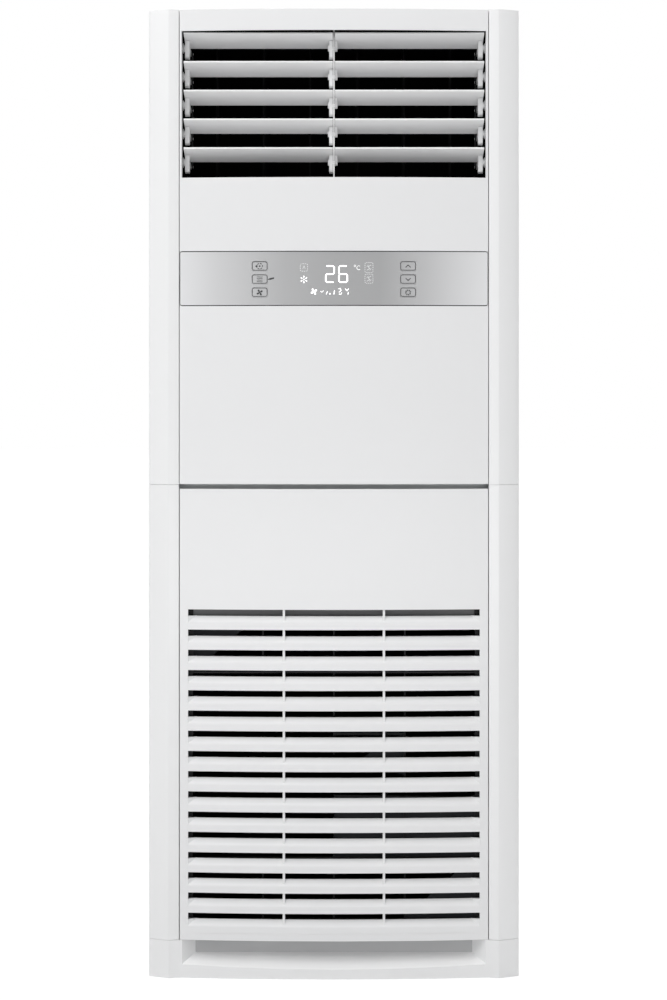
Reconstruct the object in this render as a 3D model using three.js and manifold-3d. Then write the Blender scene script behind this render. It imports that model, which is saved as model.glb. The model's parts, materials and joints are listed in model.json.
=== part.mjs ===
// Floor standing air conditioner: cabinet, outlet louvres, intake panel, fan and coil.
// Millimetres. +Z is up, the front faces -Y, and the origin is at the centre of the underside.

import * as THREE from 'three';
import { ConvexGeometry } from 'three/addons/geometries/ConvexGeometry.js';
import { LoftGeometry } from 'three/addons/geometries/LoftGeometry.js';
import { mergeVertices } from 'three/addons/utils/BufferGeometryUtils.js';
import Module from 'manifold-3d';

// ---------------------------------------------------------------- driving sizes

// Cabinet
const cabinetWidth = 651.6;
const cabinetDepth = 390;
const cabinetHeight = 1700;
const baseHeight = 66.3;
const pillarSplitHeight = 865.8;

// Plan of the front: a shallow bow between two ridged corner pillars
const pillarWidth = 54.1;
const frontBow = 10;
const ridgeInset = 36;
const ridgeRise = 3.5;
const cornerSetback = 12;
const cornerRadius = 4;
const pillarSide = 36.5;

// Walls and gaps
const mouldedWall = 3;
const sheetWall = 1.5;
const panFloor = 2;
const flangeDepth = 14;
const coverSkirt = 20;
const seatGap = 0.3;
const edgeGap = 0.4;
const seamGap = 1.2;
const turningGap = 0.3;

// Base recess
const recessMargin = 5;
const recessDepth = 22;
const recessFloorFront = 24;
const recessFloorRise = 14;

// Outlet opening and louvres
const outletTopMargin = 38.1;
const outletHeight = 257;
const outletMargin = 4.2;
const ductDepth = 100;
const ductWall = 2.5;
const louvreRows = 5;
const louvrePitch = 50.6;
const firstPivotDrop = 24;
const pivotSetback = 26;
const pivotDrop = 24;
const bladeChord = 52.6;
const bladeTilt = 20.5;
const bladeNose = 3.6;
const bladeTail = 1.8;
const louvreEndGap = 3.2;
const earThickness = 8;
const earWidth = 14;
const earReach = 20;
const shortEarReach = 6;
const pivotPinRadius = 3;
const collarRadius = 6.5;
const ribThickness = 2.4;
const linkArm = 31;
const linkDrop = 4;
const linkPinRadius = 2.2;
const linkBarWidth = 7;
const linkBarThickness = 2.8;

// Upright vanes
const vaneCount = 6;
const vanePitch = 84;
const vaneChord = 42;
const vaneThickness = 2.4;
const vaneBackspace = 28;
const vaneFootroom = 13;
const vaneHeadroom = 4;
const vanePinRadius = 2.5;
const vaneLinkArm = 16;
const vaneLinkThickness = 3.5;
const swingMotorRadius = 14;
const swingMotorHeight = 20;

// Control band, display and keys
const bandDrop = 130.7;
const bandHeight = 93.2;
const bandMargin = 2.4;
const bandGroove = 1.4;
const bandThickness = 1.3;
const keyWidth = 27.3;
const keyHeight = 16.3;
const keyOffset = 130;
const keyPitch = 23;
const firstKeyDrop = 25.2;
const keyDepth = 4.6;
const keyTravel = 0.8;
const keyFlange = 2;
const boardWidth = 330;
const boardHeight = 72;
const boardThickness = 1.6;
const boardSetback = 13.4;
const displayDrop = 40.2;
const lampWidth = 134;
const lampHeight = 38;

// Intake panel
const fingerGap = 8.4;
const intakeClearance = 1.4;
const flangeStep = 0.5;
const slotCount = 16;
const slotPitch = 35.5;
const slotHeight = 11.6;
const slotMargin = 15.7;
const stripHeight = 13.1;
const stripLedge = 0.8;
const firstSlotTop = 647;
const scoopDepth = 8.3;
const scoopWall = 2.4;
const scoopEndRun = 15;
const gridRibOffset = 87.7;
const gridRibThickness = 4.2;
const hingeSetback = 2;
const hingeHeight = 76;
const hingeOffset = 120;
const hingePinRadius = 3;
const hookWall = 2.6;

// Filter
const filterMargin = 10.7;
const filterHeight = 566;
const filterThickness = 5;
const filterRim = 12;
const filterRib = 3;
const filterNet = 0.8;

// Fan
const fanCentreX = -15;
const fanCentreHeight = 352;
const wheelRadius = 170;
const wheelWidth = 132;
const bladeCount = 24;
const bladeThickness = 2;
const throatRadius = 134;
const scrollStart = 184;
const scrollGrowth = 110;
const scrollBackspace = 83;
const scrollWidth = 162;
const motorRadius = 58;
const motorLength = 62;
const shaftRadius = 6;
const motorPlateRadius = 52;
const motorArmReach = 120;
const motorArmWidth = 26;

// Coil
const deckHeight = 690;
const coilLength = 590;
const coilThickness = 44;
const coilEndRoom = 46;
const coilLean = 20;
const coilFootSetback = 25.6;
const tubeRadius = 4.8;
const tubeRows = 5;
const finGroups = 10;
const panDepth = 72;
const panHeight = 34;
const panWall = 2;
const plateLip = 3;
const drainInset = 95.8;
const gasPipeRadius = 9.5;
const liquidPipeRadius = 5;
const pipeInset = 25.8;
const gasPipeBackspace = 45;
const liquidPipeBackspace = 75;
const baffleShelf = 40;
const liningThickness = 6;
const liningBottom = 1290;

// Back panel
const swageCount = 3;
const swagePitch = 160;
const swageMiddleX = -30;
const swageHalf = 22;
const swageDepth = 4;
const serviceHoleInset = 79.8;
const serviceHoleZ = 150;
const serviceHoleSize = 96;

// Electrical box
const boxWidth = 330;
const boxHeight = 236;
const boxDepth = 34;

// ---------------------------------------------------------------- places that follow

const halfWidth = cabinetWidth / 2;
const panelWidth = cabinetWidth - 2 * pillarWidth;
const frontY = -cabinetDepth / 2;
const backY = cabinetDepth / 2;
const seamX = panelWidth / 2;
const seamY = frontY + frontBow;
const ridgeX = halfWidth - ridgeInset;
const ridgeY = seamY - ridgeRise;
const cornerY = ridgeY + cornerSetback;
const shellBackY = cornerY + pillarSide;
const bodyFrontY = shellBackY + edgeGap;
const panelHalf = seamX - seamGap / 2;
const pillarX = seamX + seamGap / 2;
const flangeBackY = seamY + flangeDepth;
const sideTop = cabinetHeight - coverSkirt - edgeGap;
const sideBottom = baseHeight + edgeGap;
const sideBackY = backY - sheetWall - seatGap;

const outletTop = cabinetHeight - outletTopMargin;
const outletBottom = outletTop - outletHeight;
const outletHalf = panelWidth / 2 - outletMargin;
const ductFrontY = flangeBackY + edgeGap;
const ductBackY = ductFrontY + ductDepth;
const ductFloor = outletBottom - 1.7;
const ductCeiling = cabinetHeight - coverSkirt - seatGap - ductWall;
const louvreFrontY = seamY + 4;
const pivotY = louvreFrontY + pivotSetback;
const pivotZ = (row) => outletTop - firstPivotDrop - row * louvrePitch;
const louvreOuterX = outletHalf - louvreEndGap;
const louvreInnerX = ribThickness / 2 + 0.7;
const linkBarOuterX = louvreOuterX - 0.8 - earThickness - 0.5;

const vaneY = ductBackY - vaneBackspace;
const vaneBottom = ductFloor + vaneFootroom;
const vaneTop = ductCeiling - vaneHeadroom;
const vaneX = (index) => (index - (vaneCount - 1) / 2) * vanePitch;

const upperPanelBottom = pillarSplitHeight + seamGap;
const intakeTop = upperPanelBottom - fingerGap;
const intakeBottom = baseHeight + edgeGap;
const intakeHalf = pillarX - intakeClearance;
const bandTop = outletBottom - bandDrop;
const bandBottom = bandTop - bandHeight;
const bandHalf = panelWidth / 2 - bandMargin;
const displayZ = bandTop - displayDrop;
const hingeY = seamY + hingeSetback;
const recessHalf = panelWidth / 2 - recessMargin;
const slotHalf = panelWidth / 2 - slotMargin;
const filterHalf = panelWidth / 2 - filterMargin;
const filterBottom = firstSlotTop - slotCount * slotPitch + 8;
const filterY = flangeBackY + 3;
const scrollBackY = backY - scrollBackspace;
const scrollFrontY = scrollBackY - scrollWidth;
const baffleY = bodyFrontY + sheetWall + seatGap;
const sheetReach = halfWidth - sheetWall - seatGap;
const coilHalfWidth = sheetReach - coilEndRoom;
const coilFootY = bodyFrontY + coilFootSetback;
const pipeX = halfWidth - pipeInset;
const gasPipeY = backY - gasPipeBackspace;
const liquidPipeY = backY - liquidPipeBackspace;
const drainX = drainInset - halfWidth;
const panBackY = coilFootY - 12 + panDepth;
const serviceHoleX = halfWidth - serviceHoleInset;

// ---------------------------------------------------------------- solids

const wasm = await Module();
wasm.setup();

/** Turns a closed geometry into a solid that can be joined and cut. */
function toSolid(geometry) {
  const plain = geometry.index ? geometry.toNonIndexed() : geometry.clone();
  plain.deleteAttribute('normal');
  plain.deleteAttribute('uv');
  const merged = mergeVertices(plain, 1e-4);
  return new wasm.Manifold(new wasm.Mesh({
    numProp: 3,
    vertProperties: Float32Array.from(merged.attributes.position.array),
    triVerts: Uint32Array.from(merged.index.array),
  }));
}

/** Gives a solid back as a geometry. */
function toGeometry(solid) {
  const mesh = solid.getMesh();
  const geometry = new THREE.BufferGeometry();
  geometry.setAttribute('position', new THREE.BufferAttribute(mesh.vertProperties, 3));
  geometry.setIndex(new THREE.BufferAttribute(mesh.triVerts, 1));
  return geometry;
}

/** Joins solids into one. */
const join = (...solids) => solids.flat().reduce((whole, piece) => whole.add(piece));

/** Cuts solids from a whole. */
const cut = (whole, ...tools) => tools.flat().reduce((rest, tool) => rest.subtract(tool), whole);

/** The same solid on the other side of the cabinet. */
function mirrored(solid) {
  const geometry = toGeometry(solid).toNonIndexed();
  geometry.scale(-1, 1, 1);
  const position = geometry.attributes.position;
  const swap = new THREE.Vector3();
  const other = new THREE.Vector3();
  for (let corner = 0; corner < position.count; corner += 3) {
    swap.fromBufferAttribute(position, corner + 1);
    other.fromBufferAttribute(position, corner + 2);
    position.setXYZ(corner + 1, other.x, other.y, other.z);
    position.setXYZ(corner + 2, swap.x, swap.y, swap.z);
  }
  return toSolid(geometry);
}

/** A solid made for the right side, on the side asked for. */
const onSide = (side, solid) => (side > 0 ? solid : mirrored(solid));

/** A solid moved by x, y and z. */
const moved = (solid, x, y, z) => toSolid(toGeometry(solid).translate(x, y, z));

/** A closed outline through points [a, b], with holes given the same way. */
function outline(points, holes = []) {
  const shape = new THREE.Shape(points.map(([a, b]) => new THREE.Vector2(a, b)));
  shape.holes = holes.map((hole) => new THREE.Path(hole.map(([a, b]) => new THREE.Vector2(a, b))));
  return shape;
}

/** A plan outline in x and y, raised from one height to another. */
function raised(points, fromZ, toZ, holes = []) {
  const geometry = new THREE.ExtrudeGeometry(outline(points, holes), {
    depth: toZ - fromZ,
    bevelEnabled: false,
  });
  return toSolid(geometry.translate(0, 0, fromZ));
}

/** A side outline in y and z, run across from one x to another. */
function across(points, fromX, toX, holes = []) {
  const geometry = new THREE.ExtrudeGeometry(outline(points, holes), {
    depth: toX - fromX,
    bevelEnabled: false,
  });
  const axes = new THREE.Matrix4().makeBasis(
    new THREE.Vector3(0, 1, 0),
    new THREE.Vector3(0, 0, 1),
    new THREE.Vector3(1, 0, 0),
  );
  return toSolid(geometry.applyMatrix4(axes).translate(fromX, 0, 0));
}

/** A front outline in x and z, run back from one y to another. */
function inward(points, fromY, toY, holes = []) {
  const geometry = new THREE.ExtrudeGeometry(outline(points, holes), {
    depth: toY - fromY,
    bevelEnabled: false,
  });
  return toSolid(geometry.rotateX(Math.PI / 2).translate(0, toY, 0));
}

/** A plain block between two corners. */
function block(fromX, toX, fromY, toY, fromZ, toZ) {
  const geometry = new THREE.BoxGeometry(toX - fromX, toY - fromY, toZ - fromZ);
  return toSolid(geometry.translate((fromX + toX) / 2, (fromY + toY) / 2, (fromZ + toZ) / 2));
}

/** A round bar along x, y or z, between two places on that axis. */
function rod(axis, radius, from, to, a, b, sides = 12) {
  const geometry = new THREE.CylinderGeometry(radius, radius, to - from, sides);
  const middle = (from + to) / 2;
  if (axis === 'x') return toSolid(geometry.rotateZ(-Math.PI / 2).translate(middle, a, b));
  if (axis === 'y') return toSolid(geometry.translate(a, middle, b));
  return toSolid(geometry.rotateX(Math.PI / 2).translate(a, b, middle));
}

/** A turned piece on the y axis from [radius, y] points that close on the axis or on themselves. */
function turnedOnY(points, centreX, centreZ, sides) {
  const profile = points.map(([radius, y]) => new THREE.Vector2(radius, y));
  return toSolid(new THREE.LatheGeometry(profile, sides).translate(centreX, 0, centreZ));
}

/** Points round a circle arc, in degrees. */
function arc(centreA, centreB, radius, fromAngle, toAngle, steps) {
  return Array.from({ length: steps + 1 }, (_, step) => {
    const angle = THREE.MathUtils.degToRad(fromAngle + ((toAngle - fromAngle) * step) / steps);
    return [centreA + radius * Math.cos(angle), centreB + radius * Math.sin(angle)];
  });
}

/** A rectangle outline with rounded corners. */
function roundedRectangle(fromA, toA, fromB, toB, radius, steps = 3) {
  return [
    ...arc(toA - radius, toB - radius, radius, 0, 90, steps),
    ...arc(fromA + radius, toB - radius, radius, 90, 180, steps),
    ...arc(fromA + radius, fromB + radius, radius, 180, 270, steps),
    ...arc(toA - radius, fromB + radius, radius, 270, 360, steps),
  ];
}

/** A rectangle outline. */
const rectangle = (fromA, toA, fromB, toB) => [[fromA, fromB], [toA, fromB], [toA, toB], [fromA, toB]];

/** The point where two offset edges of a bend meet, on the left of the way the line runs. */
function offsetPoint(before, point, after, distance) {
  const normal = (from, to) => {
    const run = new THREE.Vector2(to[0] - from[0], to[1] - from[1]).normalize();
    return new THREE.Vector2(-run.y, run.x);
  };
  const first = before ? normal(before, point) : normal(point, after);
  const second = after ? normal(point, after) : first;
  const bisector = first.clone().add(second).normalize();
  const reach = distance / bisector.dot(first);
  return [point[0] + bisector.x * reach, point[1] + bisector.y * reach];
}

/** A folded strip: an open line of points, thickened on its left. */
function folded(points, thickness) {
  const inner = points.map((point, i) => offsetPoint(points[i - 1], point, points[i + 1], thickness));
  return [...points, ...inner.reverse()];
}

/** A closed outline drawn in on its left by a distance. */
function drawnIn(points, distance) {
  const count = points.length;
  return points.map((point, i) => (
    offsetPoint(points[(i + count - 1) % count], point, points[(i + 1) % count], distance)
  ));
}

/** An open line with one of its bends rounded. */
function rounded(points, index, radius, steps = 3) {
  const bend = new THREE.Vector2(...points[index]);
  const back = new THREE.Vector2(...points[index - 1]).sub(bend).normalize();
  const ahead = new THREE.Vector2(...points[index + 1]).sub(bend).normalize();
  const half = Math.acos(back.dot(ahead)) / 2;
  const start = bend.clone().addScaledVector(back, radius / Math.tan(half));
  const end = bend.clone().addScaledVector(ahead, radius / Math.tan(half));
  const centre = back.clone().add(ahead).normalize().multiplyScalar(radius / Math.sin(half)).add(bend);
  const startAngle = start.clone().sub(centre).angle();
  const turn = THREE.MathUtils.euclideanModulo(end.clone().sub(centre).angle() - startAngle + Math.PI,
    2 * Math.PI) - Math.PI;
  const curve = Array.from({ length: steps + 1 }, (_, step) => {
    const angle = startAngle + (turn * step) / steps;
    return [centre.x + radius * Math.cos(angle), centre.y + radius * Math.sin(angle)];
  });
  return [...points.slice(0, index), ...curve, ...points.slice(index + 1)];
}

// The bowed front is made of flat facets that every front piece shares.
const bowFacets = 6;
const bowRadius = (seamX ** 2 + frontBow ** 2) / (2 * frontBow);
const bowStations = Array.from({ length: bowFacets + 1 }, (_, i) => -seamX + (2 * seamX * i) / bowFacets);
const bowDepth = (x) => frontY + bowRadius - Math.sqrt(bowRadius ** 2 - x ** 2);

/** The y of the bowed front surface at an x. */
function frontSurface(x) {
  const step = (2 * seamX) / bowFacets;
  const facet = Math.min(bowFacets - 1, Math.max(0, Math.floor((x + seamX) / step)));
  const share = (x - bowStations[facet]) / step;
  return THREE.MathUtils.lerp(bowDepth(bowStations[facet]), bowDepth(bowStations[facet + 1]), share);
}

/** The x places of the facets' edges between two ends, ends included. */
const stationsBetween = (fromX, toX) => [
  fromX,
  ...bowStations.filter((x) => x > fromX + 1 && x < toX - 1),
  toX,
];

/** A bar that follows the bow; its outline is [setback from the front surface, z]. */
function bowed(points, fromX, toX) {
  const outer = points.map(([a, b]) => new THREE.Vector2(a, b));
  const ordered = THREE.ShapeUtils.area(outer) > 0 ? points : [...points].reverse();
  const sections = stationsBetween(fromX, toX).map((x) => (
    ordered.map(([setback, z]) => new THREE.Vector3(x, frontSurface(x) + setback, z))
  ));
  return toSolid(new LoftGeometry(sections, { capStart: true, capEnd: true }));
}

/** A solid round bar along a smooth path through points. */
function tube(points, radius, steps, sides = 8) {
  const path = new THREE.CatmullRomCurve3(points.map((point) => new THREE.Vector3(...point)));
  const section = outline(arc(0, 0, radius, 0, 360, sides).slice(0, sides));
  const geometry = new THREE.ExtrudeGeometry(section, { steps, extrudePath: path, bevelEnabled: false });
  return toSolid(geometry);
}

// ---------------------------------------------------------------- materials

function finish(color, roughness, metalness = 0) {
  return new THREE.MeshStandardMaterial({ color, roughness, metalness });
}

const whiteMoulding = finish(0xf0f1f2, 0.42);
const whitePaint = finish(0xeeeff0, 0.5, 0.1);
const louvreMoulding = finish(0xeceded, 0.45);
const silverBand = finish(0xb4b5b7, 0.35, 0.5);
const darkMoulding = finish(0x1c1d1f, 0.6);
const zincSheet = finish(0xa9adb0, 0.4, 0.8);
const coilMetal = finish(0xbfc3c6, 0.35, 0.9);
const copper = finish(0xb4714a, 0.35, 0.9);
const boardGreen = finish(0x1f5a3a, 0.6);
const motorSteel = finish(0x6d7276, 0.45, 0.7);
const netGrey = finish(0x2c2f33, 0.8);

const unit = new THREE.Group();

/** Adds a named piece to a group, at a place. */
function place(name, solid, material, group = unit, position = [0, 0, 0]) {
  const mesh = new THREE.Mesh(toGeometry(solid), material);
  mesh.name = name;
  mesh.position.set(...position);
  group.add(mesh);
  return mesh;
}

// ---------------------------------------------------------------- shell

/** The outer line of a right-hand pillar in plan, from the seam round to the side. */
function pillarLine() {
  const line = [
    [pillarX, flangeBackY],
    [pillarX, seamY],
    [ridgeX, ridgeY],
    [halfWidth, cornerY],
    [halfWidth, shellBackY],
  ];
  return rounded(line, 3, cornerRadius);
}

/** A hollow corner pillar with moulded webs, and a closed top where it reaches the roof. */
function pillar(fromZ, toZ, webCount, capped) {
  const line = pillarLine();
  const plan = [...line.slice(1), [pillarX, shellBackY]];
  const webPlan = drawnIn(plan, mouldedWall / 2);
  const pieces = [raised(folded(line, mouldedWall), fromZ, toZ)];
  for (let web = 1; web <= webCount; web += 1) {
    const webZ = fromZ + ((toZ - fromZ) * web) / (webCount + 1);
    pieces.push(raised(webPlan, webZ - 1, webZ + 1));
  }
  if (capped) pieces.push(raised(plan, toZ - mouldedWall, toZ));
  return join(pieces);
}

for (const side of [-1, 1]) {
  const name = side < 0 ? 'left' : 'right';
  const lower = pillar(sideBottom, pillarSplitHeight - edgeGap / 2, 3, false);
  const upper = pillar(pillarSplitHeight + edgeGap / 2, cabinetHeight, 3, true);
  place(`${name}_pillar_lower`, onSide(side, lower), whiteMoulding);
  place(`${name}_pillar_upper`, onSide(side, upper), whiteMoulding);
}

/** A side panel: painted sheet folded inwards along its front and back edges. */
function sidePanel() {
  const fold = 20;
  const line = [
    [halfWidth - fold, bodyFrontY],
    [halfWidth, bodyFrontY],
    [halfWidth, sideBackY],
    [halfWidth - fold, sideBackY],
  ];
  return raised(folded(line, sheetWall), sideBottom, sideTop);
}

place('left_side_panel', mirrored(sidePanel()), whitePaint);
place('right_side_panel', sidePanel(), whitePaint);

/** The back panel: sheet with pressed upright swages and the service opening for the pipes. */
function backPanel() {
  const line = [[halfWidth - 0.5, backY]];
  for (let swage = 0; swage < swageCount; swage += 1) {
    const centre = swageMiddleX + ((swageCount - 1) / 2 - swage) * swagePitch;
    line.push([centre + swageHalf, backY], [centre + swageHalf - swageDepth * 2, backY - swageDepth]);
    line.push([centre - swageHalf + swageDepth * 2, backY - swageDepth], [centre - swageHalf, backY]);
  }
  line.push([0.5 - halfWidth, backY]);
  const sheet = raised(folded(line, sheetWall), sideBottom, sideTop);
  const hole = roundedRectangle(
    serviceHoleX - serviceHoleSize / 2,
    serviceHoleX + serviceHoleSize / 2,
    serviceHoleZ - serviceHoleSize / 2,
    serviceHoleZ + serviceHoleSize / 2,
    12,
  );
  return cut(sheet, inward(hole, backY - 10, backY + 10));
}

place('back_panel', backPanel(), whitePaint);

/** The roof: a moulded lid with a skirt round its sides and back, and ribs beneath. */
function topCover() {
  const plan = rounded(rounded([
    [-halfWidth, bodyFrontY],
    [halfWidth, bodyFrontY],
    [halfWidth, backY],
    [-halfWidth, backY],
    [-halfWidth, bodyFrontY],
  ], 3, cornerRadius), 2, cornerRadius).slice(0, -1);
  const lid = raised(plan, cabinetHeight - coverSkirt, cabinetHeight);
  const hollow = raised(drawnIn(plan, mouldedWall), cabinetHeight - coverSkirt - 1, cabinetHeight - mouldedWall);
  const ribs = [-160, 0, 160].map((x) => (
    block(x - 1, x + 1, bodyFrontY + 1, backY - 1, cabinetHeight - 12, cabinetHeight - 1)
  ));
  return join(cut(lid, hollow), ribs);
}

place('top_cover', topCover(), whiteMoulding);

/** The base pan: a sheet tray with pressed swages across its floor. */
function basePan() {
  const swages = [-70, 20, 110];
  const line = [[bodyFrontY, baseHeight], [bodyFrontY, 0]];
  for (const centre of swages) {
    line.push([centre - 24, 0], [centre - 18, 6], [centre + 18, 6], [centre + 24, 0]);
  }
  line.push([backY, 0], [backY, baseHeight]);
  const tray = across(folded(line, panFloor), -halfWidth, halfWidth);
  const ends = [-1, 1].map((side) => {
    const outer = side * halfWidth;
    const inner = side * (halfWidth - panFloor);
    const wall = [[bodyFrontY, baseHeight], ...line.slice(1, -1), [backY, baseHeight]];
    return across(wall, Math.min(outer, inner), Math.max(outer, inner));
  });
  return join(tray, ends);
}

place('base_pan', basePan(), whitePaint);

/** The space of the toe recess, grown by a wall where the plinth's inside goes round it. */
function recessSpace(grow) {
  const rise = recessFloorRise / recessDepth;
  const corners = [];
  for (const y of [frontY - 8, seamY + recessDepth + grow]) {
    const depth = y - seamY;
    const floor = recessFloorFront + depth * rise - grow * Math.hypot(1, rise);
    const half = recessHalf - depth + grow * Math.SQRT2;
    for (const x of [-half, half]) {
      corners.push(new THREE.Vector3(x, y, floor), new THREE.Vector3(x, y, baseHeight + 5));
    }
  }
  return toSolid(new ConvexGeometry(corners));
}

/** Hooks on the plinth's shelf that hold the intake panel's hinge pins, one pair a side. */
function hingeHooks() {
  const shelfY = seamY + recessDepth;
  const hook = [
    [shelfY + 12, baseHeight - 1],
    [shelfY + 12, baseHeight + 2],
    ...arc(hingeY, hingeHeight, hingePinRadius + hookWall, 60, 250, 6),
    [shelfY + 1, baseHeight - 1],
  ];
  const eye = arc(hingeY, hingeHeight, hingePinRadius + turningGap, 0, 360, 16).slice(0, -1);
  const hooks = [];
  for (const side of [-1, 1]) {
    for (const offset of [-8, 8]) {
      const x = side * hingeOffset + offset;
      hooks.push(across(hook, x - 2, x + 2, [eye]));
    }
  }
  return hooks;
}

/** The base plinth: a hollow moulding with the toe recess across its front. */
function basePlinth() {
  const bow = bowStations.slice(1, -1).map((x) => [x, bowDepth(x)]);
  const half = rounded([[seamX, seamY], [ridgeX, ridgeY], [halfWidth, cornerY], [halfWidth, shellBackY]],
    2, cornerRadius);
  const mirroredHalf = half.map(([x, y]) => [-x, y]).reverse();
  const plan = [...mirroredHalf, ...bow, ...half];
  const skin = cut(raised(plan, 0, baseHeight), recessSpace(0));
  const inside = raised(drawnIn(plan, mouldedWall), -1, baseHeight - mouldedWall);
  return join(cut(skin, cut(inside, recessSpace(mouldedWall))), hingeHooks());
}

place('base_plinth', basePlinth(), whiteMoulding);

// ---------------------------------------------------------------- upper front panel

/** The turn of a key about the upright, so that its face lies in the bowed front. */
const keyAngle = (side) => Math.asin((side * keyOffset) / bowRadius);

/** A rounded block through the front at a key's place; depths count from the front surface. */
function keyBlock(side, row, grow, radius, fromDepth, toDepth) {
  const face = roundedRectangle(
    -keyWidth / 2 - grow,
    keyWidth / 2 + grow,
    -keyHeight / 2 - grow,
    keyHeight / 2 + grow,
    radius,
    2,
  );
  const geometry = toGeometry(inward(face, fromDepth, toDepth));
  geometry.rotateZ(keyAngle(side));
  geometry.translate(side * keyOffset, frontSurface(keyOffset), keyZ(row));
  return toSolid(geometry);
}

/** Height of a key row's middle. */
function keyZ(row) {
  return bandTop - firstKeyDrop - row * keyPitch;
}

/** Every key's block, at one size and depth. */
function allKeyBlocks(grow, radius, fromDepth, toDepth) {
  const blocks = [];
  for (const side of [-1, 1]) {
    for (let row = 0; row < 3; row += 1) {
      blocks.push(keyBlock(side, row, grow, radius, fromDepth, toDepth));
    }
  }
  return blocks;
}

const boardFrontY = frontY + boardSetback;
const bossRadius = 4;
const bossPlaces = [-1, 1].flatMap((side) => [-1, 1].map((up) => (
  [side * (boardWidth / 2 - 8), displayZ + up * (boardHeight / 2 - 6) - 6]
)));

/** The upper front panel: a bowed wall with flanges, the outlet opening and the band's recess. */
function upperFrontPanel() {
  const wall = mouldedWall + 0.2;
  const bottom = upperPanelBottom;
  const top = cabinetHeight;
  const skin = bowed(rectangle(0, wall, bottom, top), -panelHalf, panelHalf);
  const flangeStart = frontSurface(panelHalf) + 1;
  const sides = [-1, 1].map((side) => {
    const from = side > 0 ? panelHalf - 2.4 : -panelHalf;
    return block(from, from + 2.4, flangeStart, flangeBackY, bottom, top);
  });
  const foot = bowed(rectangle(1, flangeDepth, bottom, bottom + mouldedWall), -panelHalf, panelHalf);
  const sill = bowed(
    rectangle(1, flangeDepth, outletBottom - mouldedWall, outletBottom),
    -panelHalf,
    panelHalf,
  );
  const roofPlan = [
    ...stationsBetween(-panelHalf, panelHalf).map((x) => [x, frontSurface(x) + 1]),
    [panelHalf, shellBackY],
    [-panelHalf, shellBackY],
  ];
  const roof = raised(roofPlan, top - mouldedWall, top);
  const stiffeners = [0.3, 0.6, 0.9].map((share) => {
    const z = THREE.MathUtils.lerp(bottom, bandBottom, share);
    return bowed(rectangle(wall - 1, wall + 7, z - 1, z + 1), -panelHalf + 1, panelHalf - 1);
  });
  const bosses = bossPlaces.map(([x, z]) => (
    rod('y', bossRadius, frontSurface(x) + wall - 1, boardFrontY - seatGap, x, z, 12)
  ));
  const opening = block(-outletHalf, outletHalf, frontY - 5, frontSurface(outletHalf) + wall + 1,
    outletBottom, outletTop);
  const bandRecess = bowed(
    rectangle(-2, bandThickness + seatGap, bandBottom - bandGroove, bandTop + bandGroove),
    -bandHalf - edgeGap,
    bandHalf + edgeGap,
  );
  const lampWindow = block(-lampWidth / 2 - 1, lampWidth / 2 + 1, frontY - 5, frontY + 12,
    displayZ - lampHeight / 2 - 1, displayZ + lampHeight / 2 + 1);
  const keyHoles = allKeyBlocks(edgeGap, 3, -3, keyDepth + 3);
  return cut(join(skin, sides, foot, sill, roof, stiffeners, bosses), opening, bandRecess, lampWindow,
    keyHoles);
}

place('upper_front_panel', upperFrontPanel(), whiteMoulding);

/** The silver control band, a thin bowed strip with a window for each key. */
function controlBand() {
  const strip = bowed(rectangle(0, bandThickness, bandBottom, bandTop), -bandHalf, bandHalf);
  return cut(strip, allKeyBlocks(edgeGap, 3, -3, keyDepth));
}

place('control_band', controlBand(), silverBand);

/** A key: its cap fills the band's window and its flange catches behind the panel. */
function key(side, row) {
  const flangeFront = mouldedWall + 0.2 + seatGap + 0.3;
  const cap = keyBlock(side, row, 0, 3, 0, keyDepth);
  const flange = keyBlock(side, row, keyFlange, 2, flangeFront, keyDepth + 0.6);
  return join(cap, flange);
}

const keyNames = { '-1': ['mode_key', 'swing_key', 'fan_key'], 1: ['up_key', 'down_key', 'timer_key'] };
for (const side of [-1, 1]) {
  for (let row = 0; row < 3; row += 1) {
    place(keyNames[side][row], key(side, row), silverBand);
  }
}

/** The display board: circuit board, lamp block behind the band and a switch behind each key. */
function displayBoard() {
  const board = block(-boardWidth / 2, boardWidth / 2, boardFrontY, boardFrontY + boardThickness,
    displayZ - boardHeight / 2 - 6, displayZ + boardHeight / 2 - 6);
  const lamps = block(-lampWidth / 2, lampWidth / 2, frontY + bandThickness + 0.9, boardFrontY + 0.5,
    displayZ - lampHeight / 2, displayZ + lampHeight / 2);
  const keyBackY = frontSurface(keyOffset) + keyDepth + 0.6;
  const switches = [];
  for (const side of [-1, 1]) {
    for (let row = 0; row < 3; row += 1) {
      const x = side * keyOffset;
      const z = keyZ(row);
      switches.push(block(x - 3, x + 3, boardFrontY - 2.4, boardFrontY + 0.5, z - 3, z + 3));
      switches.push(rod('y', 1.7, keyBackY + keyTravel + 0.5, boardFrontY - 2, x, z, 10));
    }
  }
  return join(board, lamps, switches);
}

place('display_board', displayBoard(), boardGreen);

// ---------------------------------------------------------------- outlet

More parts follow.
